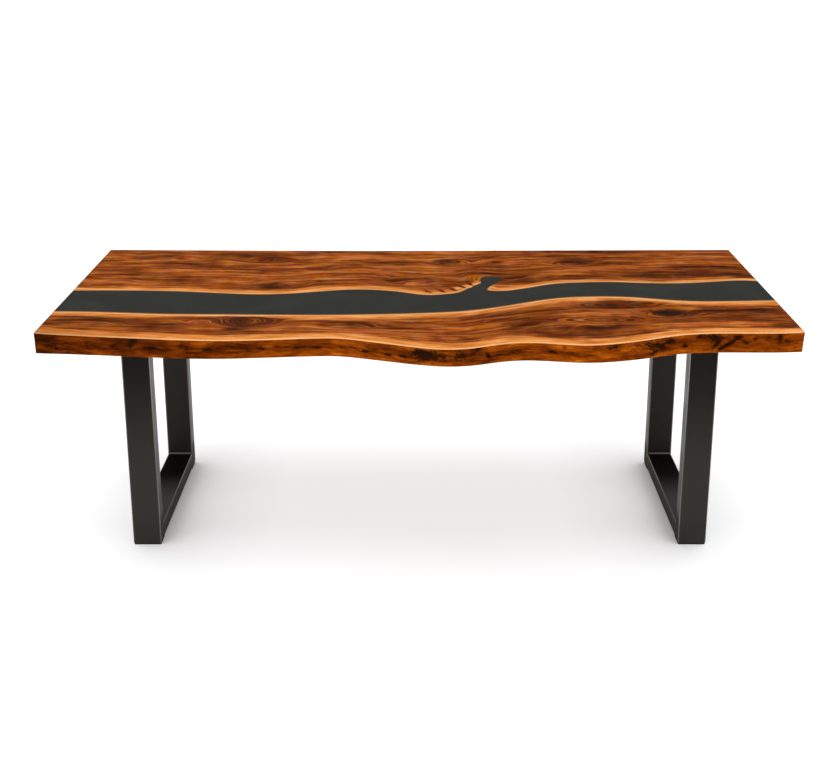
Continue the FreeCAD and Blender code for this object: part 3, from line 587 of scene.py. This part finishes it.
def powder_coated_steel(finish):
    """Steel under baked powder: fine orange-peel skin, satin, with painted highlights and painted
    light in places.
    """
    material, tree, place = new_finish("steel_powder_coated_satin")
    peel = flecks(tree, place, 1.6)
    dust = flecks(tree, place, 90, 4)
    tone = balanced(tree, 0.5, (dust, 1.2), (peel, 0.3))
    colour = add(
        tree, "ValToRGB", {"Fac": tone}, out="Color",
        stops=[(0.2, "#0E0D0A"), (0.9, "#1A1815"), (0.5, finish.steel_coat)],
    )
    # Painted highlight: every rounded corner is paler
    facing = add(tree, "TexCoord", out="Normal")
    square = add(tree, "VectorMath", {0: facing}, operation="ABSOLUTE")
    sides = add(tree, "VectorMath", {0: square, 1: square}, operation="MULTIPLY")
    level = add(tree, "VectorMath", {0: sides, 1: sides}, out="Value", operation="DOT_PRODUCT")
    corner = fade(tree, level, 0.55, 0.98, 0.85, 0.0)
    # Painted light: the outward face of each upright is paler low down, its inward face a little
    # paler all the way up, and so are the rail's sides and the front half of its top. Shoes scuff
    # the rail dull
    height = add(tree, "SeparateXYZ", {"Vector": place}, out="Z")
    turned = add(tree, "VectorMath", {0: place, 1: facing}, operation="MULTIPLY")
    turned = add(tree, "SeparateXYZ", {"Vector": turned}, out="Y")
    faces_out = fade(tree, turned, 100 * MM, 250 * MM)
    painted_light_low_outside = fade(tree, height, 660 * MM, 220 * MM, 0.0, 0.8, times=faces_out)
    painted_light_inside = fade(tree, turned, -100 * MM, -220 * MM, 0.0, 0.46)
    painted_light_on_uprights = add(tree, "Math", {0: painted_light_low_outside, 1: painted_light_inside}, operation="MAXIMUM")
    sideways = add(tree, "SeparateXYZ", {"Vector": square})
    on_rail = fade(tree, height, 90 * MM, 50 * MM)
    painted_light_rail_sides = fade(tree, sideways, 0.6, 0.95, 0.0, 0.7, times=on_rail)
    upward = add(tree, "SeparateXYZ", {"Vector": facing}, out="Z")
    on_top = fade(tree, upward, 0.3, 0.9, times=fade(tree, height, 200 * MM, 120 * MM))
    back = add(tree, "SeparateXYZ", {"Vector": place}, out="Y")
    painted_light_rail_top = fade(tree, back, 160 * MM, -100 * MM, 0.0, 0.85, times=on_top)
    # Painted highlight on the corners, painted light on the uprights and the rail
    colour = layered(
        tree, colour, (corner, "#AAA49C"), (painted_light_on_uprights, "#393631"), (painted_light_rail_sides, "#3E3B37"),
        (painted_light_rail_top, "#626364"),
    )
    satin = fade(tree, dust, 0.3, 0.7, 0.26, 0.36)
    scuffed = fade(tree, height, 110 * MM, 60 * MM, 0.0, 0.35)
    satin = summed(tree, satin, (scuffed, 1.0))
    seal(
        tree, skin=(peel, 0.15, 0.1), Base_Color=colour, Roughness=satin, IOR=1.5,
        Specular_IOR_Level=0.08,
    )
    return material


def zinc_plated_steel(finish):
    """Steel fasteners, bright zinc plated: faintly mottled, half-bright metal."""
    material, tree, place = new_finish("steel_zinc_plated")
    spangle = add(tree, "TexVoronoi", {"Vector": place, "Scale": 1 / (1.8 * MM)}, out="Color")
    colour = add(
        tree, "Mix", {FACTOR: 0.12, FIRST: finish.zinc, SECOND: spangle}, out=RESULT,
        data_type="RGBA", blend_type="SOFT_LIGHT",
    )
    worn = fade(tree, spangle, 0.0, 1.0, 0.28, 0.45)
    seal(tree, Base_Color=colour, Roughness=worn, Metallic=1.0)
    return material


def turned_brass(finish):
    """Brass inserts, turned and knurled: fine rings from the lathe."""
    material, tree, place = new_finish("brass_turned")
    cuts = add(
        tree, "TexWave", {"Vector": place, "Scale": 1 / (2 * MM), "Distortion": 0.4},
        out="Fac", bands_direction="Z",
    )
    tint = layered(tree, finish.brass, (cuts, "#A87C3C"))
    worn = fade(tree, cuts, 0.0, 1.0, 0.25, 0.42)
    seal(tree, Base_Color=tint, Roughness=worn, Metallic=1.0)
    return material


def moulded_rubber(finish):
    """Rubber foot pads, moulded: matt with a fine grit from the mould."""
    material, tree, place = new_finish("rubber_moulded_matt")
    grit = flecks(tree, place, 0.9)
    colour = layered(tree, finish.rubber, (grit, "#222120"))
    seal(
        tree, skin=(grit, 0.4, 0.2), Base_Color=colour, Roughness=0.85, IOR=1.52,
        Specular_IOR_Level=0.3,
    )
    return material


def opal_floor(finish, stage):
    """Opal acrylic over a light table: it glows a little, so shadows on it stay pale."""
    material, tree, place = new_finish("acrylic_opal_floor")
    colour = layered(tree, finish.floor, (flecks(tree, place, 1667), "#D2D2D2"))
    matt = add(tree, "BsdfDiffuse", {"Color": colour})
    # The glow stands for light that comes in low from outside; ambient occlusion dims it into a
    # painted shadow close to a rail or a foot, on the side that is turned to the table's middle
    low = add(
        tree, "VectorMath", {0: place, 1: GLOW_LEAN_SHARES, 2: (0.0, 0.0, 1.0)},
        operation="MULTIPLY_ADD",
    )
    low = add(tree, "VectorMath", {0: low}, operation="NORMALIZE")
    glow_left_by_painted_shadow = add(tree, "AmbientOcclusion", {"Distance": PAINTED_SHADOW_REACH, "Normal": low}, out="AO")
    strength = summed(tree, 0.0, (glow_left_by_painted_shadow, stage.floor_glow))
    glow = add(tree, "Emission", {"Color": finish.light_table, "Strength": strength})
    lit = add(tree, "AddShader", {0: matt, 1: glow})
    add(tree, "OutputMaterial", {"Surface": lit})
    return material


def placed(name, data):
    """A new object in the scene."""
    item = bpy.data.objects.new(name, data)
    bpy.context.scene.collection.objects.link(item)
    return item


def outline_at(node, height):
    """The outer outline of a CAD node at one height, as points in order round it."""
    cut = bmesh.new()
    cut.from_mesh(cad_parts[node].data)
    bmesh.ops.remove_doubles(cut, verts=cut.verts, dist=WELD_GAP)
    bmesh.ops.bisect_plane(
        cut, geom=cut.verts[:] + cut.edges[:] + cut.faces[:], plane_co=(0, 0, height),
        plane_no=(0, 0, 1), clear_inner=True, clear_outer=True,
    )
    loops = []
    unseen = set(cut.verts)
    while unseen:
        here = unseen.pop()
        loop = [here.co.xy[:]]
        ahead = [here]
        while ahead:
            here = ahead[0]
            ahead = [e.other_vert(here) for e in here.link_edges if e.other_vert(here) in unseen]
            if ahead:
                unseen.discard(ahead[0])
                loop.append(ahead[0].co.xy[:])
        loops.append(np.array(loop))
    cut.free()
    return max(loops, key=lambda loop: np.ptp(loop, axis=0).sum())


def long_sides(loop):
    """The near and the far long side of an outline, each from its left end to its right."""
    slack = 0.1 * MM
    on_left = loop[:, 0] < loop[:, 0].min() + slack
    start = np.where(on_left)[0][loop[on_left, 1].argmin()]
    loop = np.roll(loop, -start, axis=0)
    if loop[1, 0] < loop[0, 0] + slack:
        loop = np.concatenate([loop[:1], loop[:0:-1]])
    on_right = np.where(loop[:, 0] > loop[:, 0].max() - slack)[0]
    back_on_left = on_right[-1] + np.where(loop[on_right[-1]:, 0] < loop[0, 0] + slack)[0][0]
    return loop[:on_right[0] + 1], loop[on_right[-1]:back_on_left + 1][::-1]


def softened(line, step, rounding):
    """A line of even steps with its facets smoothed away over a rounding length."""
    reach = int(3 * rounding / step)
    weights = np.exp(-0.5 * (np.arange(-reach, reach + 1) * step / rounding) ** 2)
    weights /= weights.sum()
    padded = np.concatenate(
        [2 * line[0] - line[reach:0:-1], line, 2 * line[-1] - line[-2:-reach - 2:-1]]
    )
    return np.column_stack([np.convolve(column, weights, "valid") for column in padded.T])


def evened(line, step):
    """The same line in points an even step apart."""
    run = np.concatenate([[0], np.cumsum(np.hypot(*np.diff(line, axis=0).T))])
    places = np.linspace(0, run[-1], round(run[-1] / step) + 1)
    return np.column_stack([np.interp(places, run, column) for column in line.T])


def nearest_points(points, line):
    """For each point, the nearest point of a line, and how far it is."""
    tree = kdtree.KDTree(len(line))
    for index, (x, y) in enumerate(line):
        tree.insert((x, y, 0), index)
    tree.balance()
    found = [tree.find((x, y, 0)) for x, y in points]
    return np.array([place[:2] for place, _, _ in found]), np.array([gap for _, _, gap in found])


def read_sides(node, step):
    """The near and far sides of a slab just under its top arris, and how they lean.

    The lower height is above everything that is cut into the underside.
    """
    high, low = TOP - READ_DEPTH, TOP - 0.5 * THICKNESS
    sides = []
    for upper, lower in zip(long_sides(outline_at(node, high)), long_sides(outline_at(node, low))):
        line = softened(evened(upper, step), step, LINE_ROUNDING)
        below, _ = nearest_points(line, evened(lower, 1 * MM))
        lean = (below - line) / (high - low)
        lean[0] = (0, (lower[0] - upper[0])[1] / (high - low))
        lean[-1] = (0, (lower[-1] - upper[-1])[1] / (high - low))
        lean = softened(lean, step, LEAN_ROUNDING)
        sides.append(Side(line - lean * READ_DEPTH, lean))
    return sides


def normals_of(line, turn):
    """Unit normals of a line, to its left for a turn of 1 and to its right for -1."""
    along = np.gradient(line, axis=0)
    along /= np.hypot(*along.T)[:, None]
    return np.column_stack([-along[:, 1], along[:, 0]]) * turn


def arris_levels(radius, step):
    """Depths below the top and how far the eased arris draws in there, from top to bottom."""
    turns = [math.radians(angle) for angle in (0, 22, 45, 68, 90)]
    upper = [(radius * (1 - math.cos(a)), radius * (1 - math.sin(a))) for a in turns]
    count = round((THICKNESS - 2 * radius) / step)
    middle = [(depth, 0.0) for depth in np.linspace(radius, THICKNESS - radius, count + 1)[1:-1]]
    lower = [(THICKNESS - depth, inset) for depth, inset in reversed(upper)]
    return upper + middle + lower


def hollow_at(x, depth):
    """How hollow the live edge is at one place, from 0 to 1: lumps along it, strokes and pits."""
    lumps = noise.noise((x / (95 * MM), depth / (34 * MM), 3.1))
    strokes = noise.noise((x / (34 * MM) + depth / (60 * MM), depth / (10 * MM), 7.7))
    pits = max(0.0, noise.noise((x / (22 * MM), depth / (12 * MM), 5.3)) - 0.15)
    return min(1.0, max(0.0, 0.42 + 0.42 * lumps + 0.30 * strokes + 0.9 * pits))


def inside(ring, points):
    """Which points lie inside a closed ring."""
    found = np.zeros(len(points), bool)
    for (x0, y0), (x1, y1) in zip(ring, np.roll(ring, -1, axis=0)):
        if y0 != y1:
            spans = (points[:, 1] > min(y0, y1)) & (points[:, 1] <= max(y0, y1))
            found ^= spans & (points[:, 0] < x0 + (points[:, 1] - y0) * (x1 - x0) / (y1 - y0))
    return found


def fill_ring(ring, step):
    """Points and triangles that fill a ring; the ring's own points come first."""
    low, high = ring.min(axis=0), ring.max(axis=0)
    rows = np.arange(low[1] + step / 2, high[1], step * math.sqrt(0.75))
    columns = np.arange(low[0] + step / 2, high[0], step)
    across, up = np.meshgrid(columns, rows)
    across = across + (np.arange(len(rows)) % 2)[:, None] * step / 2
    points = np.column_stack([across.ravel(), up.ravel()])
    points = points[inside(ring, points)]
    _, gap = nearest_points(points, ring)
    points = np.concatenate([ring, points[gap > 0.7 * step]])
    rim = [(index, (index + 1) % len(ring)) for index in range(len(ring))]
    made = delaunay_2d_cdt([Vector(p) for p in points], rim, [], 1, 0.001 * MM)
    source = [sources[0] for sources in made[3]]
    return points, [[source[corner] for corner in face] for face in made[2]]


def side_at(side, turn, depth, inset, arris):
    """A side's line at one depth, drawn in by its arris and its relief, and how hollow it is."""
    line = side.line + side.lean * (max(depth, READ_DEPTH) if side.eased else depth)
    away = min(depth, THICKNESS - depth)
    worn = min(1.0, max(0.0, (away - arris) / RELIEF_FADE)) * side.relief
    hollow = np.array([hollow_at(x, depth) if side.relief else 0.0 for x, _ in line])
    sink = (inset if side.eased else 0.0) + worn * hollow
    line = line + normals_of(line, turn) * sink[:, None]
    line[:, 0] = np.clip(line[:, 0], inset - HALF_LENGTH, HALF_LENGTH - inset)
    line[0, 0], line[-1, 0] = inset - HALF_LENGTH, HALF_LENGTH - inset
    return line, hollow


def block(name, near, far, slabs, face_step, finishes):
    """A solid between two long sides, closed by straight ends and by filled faces."""
    end_count = max(2, round(abs(far.line[0][1] - near.line[0][1]) / slabs.edge_step))
    share = np.linspace(0, 1, end_count + 1)[1:-1, None]
    levels = arris_levels(slabs.arris, ROW_STEP)
    places = (
        [near.place] * (len(near.line) - 1) + [END_GRAIN] * end_count
        + [far.place] * (len(far.line) - 1) + [END_GRAIN] * end_count
    )
    vertices, hollows = [], []
    for depth, inset in levels:
        front, front_hollow = side_at(near, 1, depth, inset, slabs.arris)
        back, back_hollow = side_at(far, -1, depth, inset, slabs.arris)
        right = front[-1] * (1 - share) + back[-1] * share
        left = back[0] * (1 - share) + front[0] * share
        ring = np.concatenate([front, right, back[::-1], left])
        still = np.zeros(len(right))
        hollows.append(np.concatenate([front_hollow, still, back_hollow[::-1], still]))
        vertices.append(np.column_stack([ring, np.full(len(ring), TOP - depth)]))
    count = len(vertices[0])
    quads, materials = [], []
    for level in range(len(levels) - 1):
        base = level * count
        for index in range(count):
            ahead = (index + 1) % count
            quads.append((base + index, base + count + index, base + count + ahead, base + ahead))
            # The eased arris belongs to the face, whose pale rim paints a highlight on it
            eased = levels[level + 1][0] <= slabs.arris + WELD_GAP and places[index] == BARK_EDGE
            materials.append(FACE if eased else places[index])
    faces = list(quads)
    extra = []
    # The underside is plain, so its triangles are six times as large
    for level, up, step in ((0, True, face_step), (len(levels) - 1, False, 6 * face_step)):
        ring = vertices[level]
        points, triangles = fill_ring(ring[:, :2], step)
        start = len(levels) * count + sum(len(part) for part in extra)
        new = points[count:]
        extra.append(np.column_stack([new, np.full(len(new), ring[0, 2])]))
        for triangle in triangles:
            corners = [level * count + c if c < count else start + c - count for c in triangle]
            faces.append(corners if up else corners[::-1])
            materials.append(FACE)
    hollow = np.concatenate(hollows + [np.zeros(len(part)) for part in extra])
    mesh = bpy.data.meshes.new(name)
    mesh.from_pydata(np.concatenate(vertices + extra).tolist(), [], faces)
    for finish in finishes:
        mesh.materials.append(finish)
    mesh.polygons.foreach_set("material_index", np.minimum(materials, len(finishes) - 1))
    mesh.attributes.new("hollow", "FLOAT", "POINT").data.foreach_set("value", hollow)
    mesh.update()
    return mesh


def groove_cutter(play):
    """Boxes a little larger than the two stiffener channels, down past the underside."""
    cutter = bmesh.new()
    for side in SIDES:
        low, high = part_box(f"{side}_stiffener_channel")
        low, high = low - Vector((play, play, THICKNESS)), high + Vector((play, play, play))
        size = Matrix.Diagonal((*(high - low), 1.0))
        bmesh.ops.create_cube(cutter, size=1, matrix=Matrix.Translation((low + high) / 2) @ size)
    mesh = bpy.data.meshes.new("groove_cutter")
    cutter.to_mesh(mesh)
    cutter.free()
    return placed("groove_cutter", mesh)


def grooved(name, mesh, play):
    """The piece with the stiffener grooves cut into its underside."""
    piece = placed(name, mesh)
    cutter = groove_cutter(play)
    cut = piece.modifiers.new("grooves", "BOOLEAN")
    cut.operation = "DIFFERENCE"
    cut.solver = "EXACT"
    cut.object = cutter
    graph = bpy.context.evaluated_depsgraph_get()
    piece_mesh = bpy.data.meshes.new_from_object(
        piece.evaluated_get(graph), preserve_all_data_layers=True, depsgraph=graph
    )
    piece.modifiers.clear()
    piece.data = piece_mesh
    bpy.data.objects.remove(cutter)
    return piece


def smoothed(mesh):
    """Smooth shading, with sharper edges kept crisp."""
    mesh.polygons.foreach_set("use_smooth", [True] * len(mesh.polygons))
    mesh.set_sharp_from_angle(angle=CRISP_TURN)


def envelope(line):
    """Even places along the table and a side's lowest y in each, which leaves out any branch."""
    places = np.arange(-HALF_LENGTH, HALF_LENGTH + ENVELOPE_STEP, ENVELOPE_STEP)
    order = np.argsort(line[:, 0])
    bins = np.digitize(line[order, 0], places)
    low = {}
    for index, y in zip(bins, line[order, 1]):
        low[index] = min(y, low.get(index, y))
    found = sorted(low)
    known = [places[min(index, len(places) - 1)] for index in found]
    return places, np.interp(places, known, [low[index] for index in found])


def without_branch(line):
    """A bank's line without the stretch that runs up round a branch of the river."""
    places, level = envelope(line)
    return line[line[:, 1] - np.interp(line[:, 0], places, level) < BRANCH_RISE]


def grain_of(points, near, far, width, knots):
    """Grain coordinates: along the board, across its growth rings and down through it.

    Also returns how firmly the rings of a knot hold each point.
    """
    x, y = points[:, 0], points[:, 1]
    bounds = []
    for line in (near, far):
        places, level = envelope(line)
        level = softened(level[:, None], ENVELOPE_STEP, 40 * MM)[:, 0]
        bounds.append(np.interp(x, places, level))
    share = (y - bounds[0]) / (bounds[1] - bounds[0])
    # The grain wanders in slow waves, 420 mm long, and in quicker ones of 170 mm
    drift = np.array([
        noise.noise((a / (420 * MM), b / (130 * MM), 1.7)) * 0.55
        + noise.noise((a / (170 * MM), b / (60 * MM), 4.2)) * 0.3
        for a, b in zip(x, y)
    ])
    across = share * width + drift * 34 * MM
    ringed = np.zeros(len(points))
    for knot in knots:
        dx = (x - knot.x_share * HALF_LENGTH) / (knot.length * MM)
        dy = (y - knot.y_share * HALF_DEPTH) / (knot.width * MM)
        reach = np.hypot(dx, dy)
        # A knot holds its rings as far as 0.8 of its size, and lets go of them by 1.4
        hold = np.clip((1.4 - reach) / 0.6, 0, 1) * knot.pull
        hold = hold * hold * (3 - 2 * hold)
        centre = across[reach.argmin()]
        rings = centre + reach * knot.width * MM * 0.85
        across = across * (1 - hold) + rings * hold
        ringed = np.maximum(ringed, hold)
    depth = TOP - points[:, 2]
    return np.column_stack([x, across, depth * 0.8]), ringed


def marks_at(along, across, marks, span):
    """How strongly marks show at each point; the shares across are of the span."""
    total = np.zeros(len(along))
    for mark in marks:
        dx = along - mark.x_share * HALF_LENGTH
        dy = across - mark.across_share * span
        turn = math.radians(mark.turn)
        length = (dx * math.cos(turn) + dy * math.sin(turn)) / (mark.length / 2 * MM)
        width = (dy * math.cos(turn) - dx * math.sin(turn)) / (mark.width / 2 * MM)
        total += mark.strength * np.exp(-0.7 * (length ** 2 + width ** 2))
    return total


def write_patterns(mesh, near, far, live, bank, width, pale, knots, stains):
    """Writes what the walnut finishes read: grain, gaps to the pale edges and stains.

    The gap to the river's bank is a share of the width of the pale wood along it.
    """
    points = np.zeros(len(mesh.vertices) * 3)
    mesh.vertices.foreach_get("co", points)
    points = points.reshape(-1, 3)
    x, y, z = points.T
    # The back edge shows the live edge's hollows too, turned end for end
    edge_x = x if live is not None else -x
    grain, ringed = grain_of(points, near, far, width, knots)
    mesh.attributes.new("grain", "FLOAT_VECTOR", "POINT").data.foreach_set("vector", grain.ravel())
    # The rear slab has no pale live edge, so all of it counts as a metre away from one
    far_off = np.full(len(points), 1000 * MM)
    patterns = {
        "bank_share": nearest_points(points[:, :2], bank)[1] / pale,
        "live_gap": nearest_points(points[:, :2], live)[1] if live is not None else far_off,
        "stain": marks_at(x, y, stains, HALF_DEPTH),
        "ringed": ringed,
        "torn": marks_at(edge_x, z - TOP, EDGE_HOLLOWS, -THICKNESS),
    }
    for name, values in patterns.items():
        mesh.attributes.new(name, "FLOAT", "POINT").data.foreach_set("value", values)


def bead(mesh, path, away, up, settings, closed):
    """Adds a rippled fillet weld along a path: away and up are the two faces that it joins."""
    turns = [math.radians(angle) for angle in (0, 18, 36, 54, 72, 90)]
    # How much a ripple swells, an end tapers with each section, and the fillet is hollow, and how
    # deep its root lies in the steel
    ripple_share, taper_share, hollow_share, root_depth = 0.16, 0.34, 0.2, 0.4 * MM
    rows = []
    for index, point in enumerate(path):
        swell = 0.5 + 0.5 * math.cos(2 * math.pi * index * SECTION_SHARE)
        end = 1.0 if closed else min(1.0, (1 + min(index, len(path) - 1 - index)) * taper_share)
        leg = settings.bead * end * (1 - ripple_share + ripple_share * swell)
        root = point - (away[index] + up) * root_depth
        row = [mesh.verts.new(root)]
        for turn in turns:
            reach = leg * (1 - hollow_share * math.sin(2 * turn))
            out = away[index] * math.cos(turn) + up * math.sin(turn)
            row.append(mesh.verts.new(point + out * reach))
        rows.append(row)
    pairs = list(zip(rows, rows[1:])) + ([(rows[-1], rows[0])] if closed else [])
    for here, ahead in pairs:
        for k in range(len(here)):
            j = (k + 1) % len(here)
            mesh.faces.new((here[k], here[j], ahead[j], ahead[k]))
    if not closed:
        mesh.faces.new(rows[0][::-1])
        mesh.faces.new(rows[-1])


def around(low, high, corner, step):
    """Points round a tube's rounded rectangle, an even step apart, and their outward normals."""
    centres = (
        (high.x - corner, low.y + corner, -90), (high.x - corner, high.y - corner, 0),
        (low.x + corner, high.y - corner, 90), (low.x + corner, low.y + corner, 180),
    )
    points = []
    for x, y, start in centres:
        for turn in (0, 15, 30, 45, 60, 75, 90):
            angle = math.radians(start + turn)
            points.append((x + corner * math.cos(angle), y + corner * math.sin(angle)))
    line = evened(np.array(points + points[:1]), step)[:-1]
    behind, ahead = np.roll(line, 1, axis=0), np.roll(line, -1, axis=0)
    along = (ahead - behind) / np.hypot(*(ahead - behind).T)[:, None]
    return line, np.column_stack([along[:, 1], -along[:, 0]])


def frame_welds(side, settings):
    """The welds of one leg frame: in its two inside corners and round its tubes at the plate."""
    mesh = bmesh.new()
    step = settings.ripple * SECTION_SHARE
    rail_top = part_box(f"{side}_floor_rail")[1].z
    for end, inner, facing in (("front", 1, 1), ("rear", 0, -1)):
        low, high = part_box(f"{side}_{end}_upright")
        y = (low, high)[inner].y
        count = round((high.x - low.x - 2 * settings.tube_corner) / step)
        places = np.linspace(low.x + settings.tube_corner, high.x - settings.tube_corner, count)
        path = [Vector((x, y, rail_top)) for x in places]
        bead(mesh, path, [Vector((0, facing, 0))] * count, Vector((0, 0, 1)), settings, False)
        line, normals = around(low, high, settings.tube_corner, step)
        path = [Vector((x, y, high.z)) for x, y in line]
        away = [Vector((x, y, 0)) for x, y in normals]
        bead(mesh, path, away, Vector((0, 0, -1)), settings, True)
    bmesh.ops.recalc_face_normals(mesh, faces=mesh.faces)
    made = bpy.data.meshes.new(f"{side}_welds")
    mesh.to_mesh(made)
    mesh.free()
    smoothed(made)
    return placed(f"{side}_welds", made)


def photographed_from(stage):
    """The camera, where the photograph was taken from."""
    camera = bpy.data.cameras.new("camera")
    camera.lens = stage.lens
    camera.shift_y = -PHOTO_DROP / PHOTO_WIDTH
    eye = placed("camera", camera)
    eye.location = (stage.camera_right, -stage.camera_back, stage.camera_height)
    eye.rotation_euler = (math.radians(90) - stage.camera_tilt, 0, 0)
    return eye


def soft_surround():
    """A world that lights softly from all round."""
    world = bpy.data.worlds.new("soft_surround")
    world.use_nodes = True
    tree = world.node_tree
    tree.nodes.clear()
    direction = add(tree, "TexCoord", out="Generated")
    height = add(tree, "SeparateXYZ", {"Vector": direction}, out="Z")
    # Soft light from all round, dark flags near the horizon for what shines, and plain
    # white for the camera
    soft = fade(tree, height, 0.0, 0.5, 0.74, 0.62)
    shine = fade(tree, height, 0.5, 0.98, 0.02, 1.0)
    lit, flagged, seen = (
        add(tree, "Background", {"Color": "#FFFFFF", "Strength": strength})
        for strength in (soft, shine, 1.0)
    )
    on_gloss = add(tree, "LightPath", out="Is Glossy Ray")
    on_camera = add(tree, "LightPath", out="Is Camera Ray")
    mixed = add(tree, "MixShader", {0: on_gloss, 1: lit, 2: flagged})
    mixed = add(tree, "MixShader", {0: on_camera, 1: mixed, 2: seen})
    add(tree, "OutputWorld", {"Surface": mixed})
    return world


def finish_piece(piece, slot, *nodes):
    """Rides the piece on the table and hides the CAD nodes that it stands for; its slot is not
    used.
    """
    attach(piece, "root")
    if nodes:
        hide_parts(*nodes)
    return piece


def coat(parts, material):
    """Gives the CAD nodes of some parts, at the left and at the right, their finish."""
    for node in [f"{side}_{part}" for side in SIDES for part in parts]:
        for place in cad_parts[node].material_slots:
            place.material = material


class TABLE_OT_lay_slabs(bpy.types.Operator):
    """Lays the front and the rear walnut slab"""

    bl_idname = "table.lay_slabs"
    bl_label = "Lay the walnut slabs"

    def execute(self, context):
        slabs, finish = context.scene.table_slabs, context.scene.table_finish
        live, near_bank = read_sides("front_slab", slabs.edge_step)
        far_bank, back = read_sides("rear_slab", slabs.edge_step)
        # The back edge was planed nearly straight, so its hollows are shallower
        live = live._replace(eased=True, relief=slabs.relief, place=BARK_EDGE)
        back = back._replace(eased=True, relief=0.6 * slabs.relief, place=BARK_EDGE)
        wood = (oiled_walnut_face(finish, slabs), oiled_bark_edge(finish), sawn_end_grain(finish))
        front = block("front_slab_walnut", live, near_bank, slabs, slabs.face_step, wood)
        rear = block("rear_slab_walnut", far_bank, back, slabs, slabs.face_step, wood)
        jobs = (
            (front, "front_slab", live.line, near_bank.line, live.line, near_bank.line,
             slabs.front_grain, slabs.front_bank, FRONT_KNOTS, FRONT_STAINS),
            (rear, "rear_slab", far_bank.line, back.line, None, without_branch(far_bank.line),
             slabs.rear_grain, slabs.rear_bank, REAR_KNOTS, REAR_STAINS),
        )
        for mesh, node, *patterns in jobs:
            piece = grooved(f"{node}_walnut", mesh, slabs.groove_play)
            write_patterns(piece.data, *patterns)
            smoothed(piece.data)
            finish_piece(piece, "walnut", node)
        return {"FINISHED"}


class TABLE_OT_pour_river(bpy.types.Operator):
    """Pours the resin river between the banks of the two slabs"""

    bl_idname = "table.pour_river"
    bl_label = "Pour the resin river"

    def execute(self, context):
        slabs, finish = context.scene.table_slabs, context.scene.table_finish
        near_bank = read_sides("front_slab", slabs.edge_step)[1]
        far_bank = read_sides("rear_slab", slabs.edge_step)[0]
        mesh = block(
            "resin_river_epoxy", near_bank, far_bank, slabs, RESIN_STEP,
            [poured_resin(finish)],
        )
        piece = grooved("resin_river_epoxy", mesh, slabs.groove_play)
        smoothed(piece.data)
        finish_piece(piece, "charcoal_resin", "resin_river")
        return {"FINISHED"}


class TABLE_OT_coat_frames(bpy.types.Operator):
    """Welds and powder-coats the leg frames, their plates and the stiffener channels"""

    bl_idname = "table.coat_frames"
    bl_label = "Coat the leg frames"

    def execute(self, context):
        steel = powder_coated_steel(context.scene.table_finish)
        parts = (
            "front_upright", "rear_upright", "floor_rail", "mounting_plate", "stiffener_channel",
        )
        coat(parts, steel)
        for side in SIDES:
            welds = frame_welds(side, context.scene.table_frame)
            welds.data.materials.append(steel)
            finish_piece(welds, "coated_steel")
        return {"FINISHED"}


class TABLE_OT_fit_fasteners(bpy.types.Operator):
    """Plates the bolts, washers and screws, and turns the brass inserts"""

    bl_idname = "table.fit_fasteners"
    bl_label = "Fit the fasteners"

    def execute(self, context):
        finish = context.scene.table_finish
        coat(("leg_bolts", "leg_washers", "stiffener_screws"), zinc_plated_steel(finish))
        coat(("leg_inserts", "stiffener_inserts"), turned_brass(finish))
        return {"FINISHED"}


class TABLE_OT_press_pads(bpy.types.Operator):
    """Gives the foot pads their moulded rubber"""

    bl_idname = "table.press_pads"
    bl_label = "Press on the foot pads"

    def execute(self, context):
        rubber = moulded_rubber(context.scene.table_finish)
        coat(("front_foot_pad", "rear_foot_pad"), rubber)
        return {"FINISHED"}


class TABLE_OT_set_stage(bpy.types.Operator):
    """Sets the camera, the pale floor, the overhead softbox and the soft surround"""

    bl_idname = "table.set_stage"
    bl_label = "Set the stage"

    def execute(self, context):
        scene, stage = context.scene, context.scene.table_stage
        bpy.context.scene.camera = photographed_from(stage)
        scene.view_settings.view_transform = "Standard"
        scene.world = soft_surround()
        mesh = bpy.data.meshes.new("floor")
        corners = [
            (x * FLOOR_REACH, y * FLOOR_REACH, FLOOR_DROP)
            for x, y in ((-1, -1), (1, -1), (1, 1), (-1, 1))
        ]
        mesh.from_pydata(corners, [], [(0, 1, 2, 3)])
        mesh.materials.append(opal_floor(scene.table_finish, stage))
        floor = placed("floor", mesh)
        # A wide softbox high overhead: its soft-edged shadow lies right under the top
        lamp = bpy.data.lights.new("softbox", "SUN")
        lamp.angle = stage.softbox_spread
        lamp.energy = stage.softbox
        placed("softbox", lamp)
        return {"FINISHED"}


STEPS = (
    TABLE_OT_set_stage, TABLE_OT_lay_slabs, TABLE_OT_pour_river, TABLE_OT_coat_frames,
    TABLE_OT_fit_fasteners, TABLE_OT_press_pads,
)
SETTINGS = {
    "table_slabs": SlabSettings,
    "table_finish": FinishSettings,
    "table_frame": FrameSettings,
    "table_stage": StageSettings,
}


class TABLE_PT_panel(bpy.types.Panel):
    """Lists the table's settings and the steps that build it"""

    bl_idname = "TABLE_PT_panel"
    bl_label = "River dining table"
    bl_space_type = "VIEW_3D"
    bl_region_type = "UI"
    bl_category = "Table"

    def draw(self, context):
        for name, group in SETTINGS.items():
            box = self.layout.box()
            for setting in group.__annotations__:
                box.prop(getattr(context.scene, name), setting)
        for step in STEPS:
            self.layout.operator(step.bl_idname)


def register():
    for item in (*SETTINGS.values(), *STEPS, TABLE_PT_panel):
        bpy.utils.register_class(item)
    for name, group in SETTINGS.items():
        setattr(bpy.types.Scene, name, bpy.props.PointerProperty(type=group))


def unregister():
    for name in SETTINGS:
        delattr(bpy.types.Scene, name)
    for item in (TABLE_PT_panel, *reversed(STEPS), *SETTINGS.values()):
        bpy.utils.unregister_class(item)


def main():
    register()
    bpy.ops.table.set_stage()
    bpy.ops.table.lay_slabs()
    bpy.ops.table.pour_river()
    bpy.ops.table.coat_frames()
    bpy.ops.table.fit_fasteners()
    bpy.ops.table.press_pads()


if __name__ == "__main__":
    main()
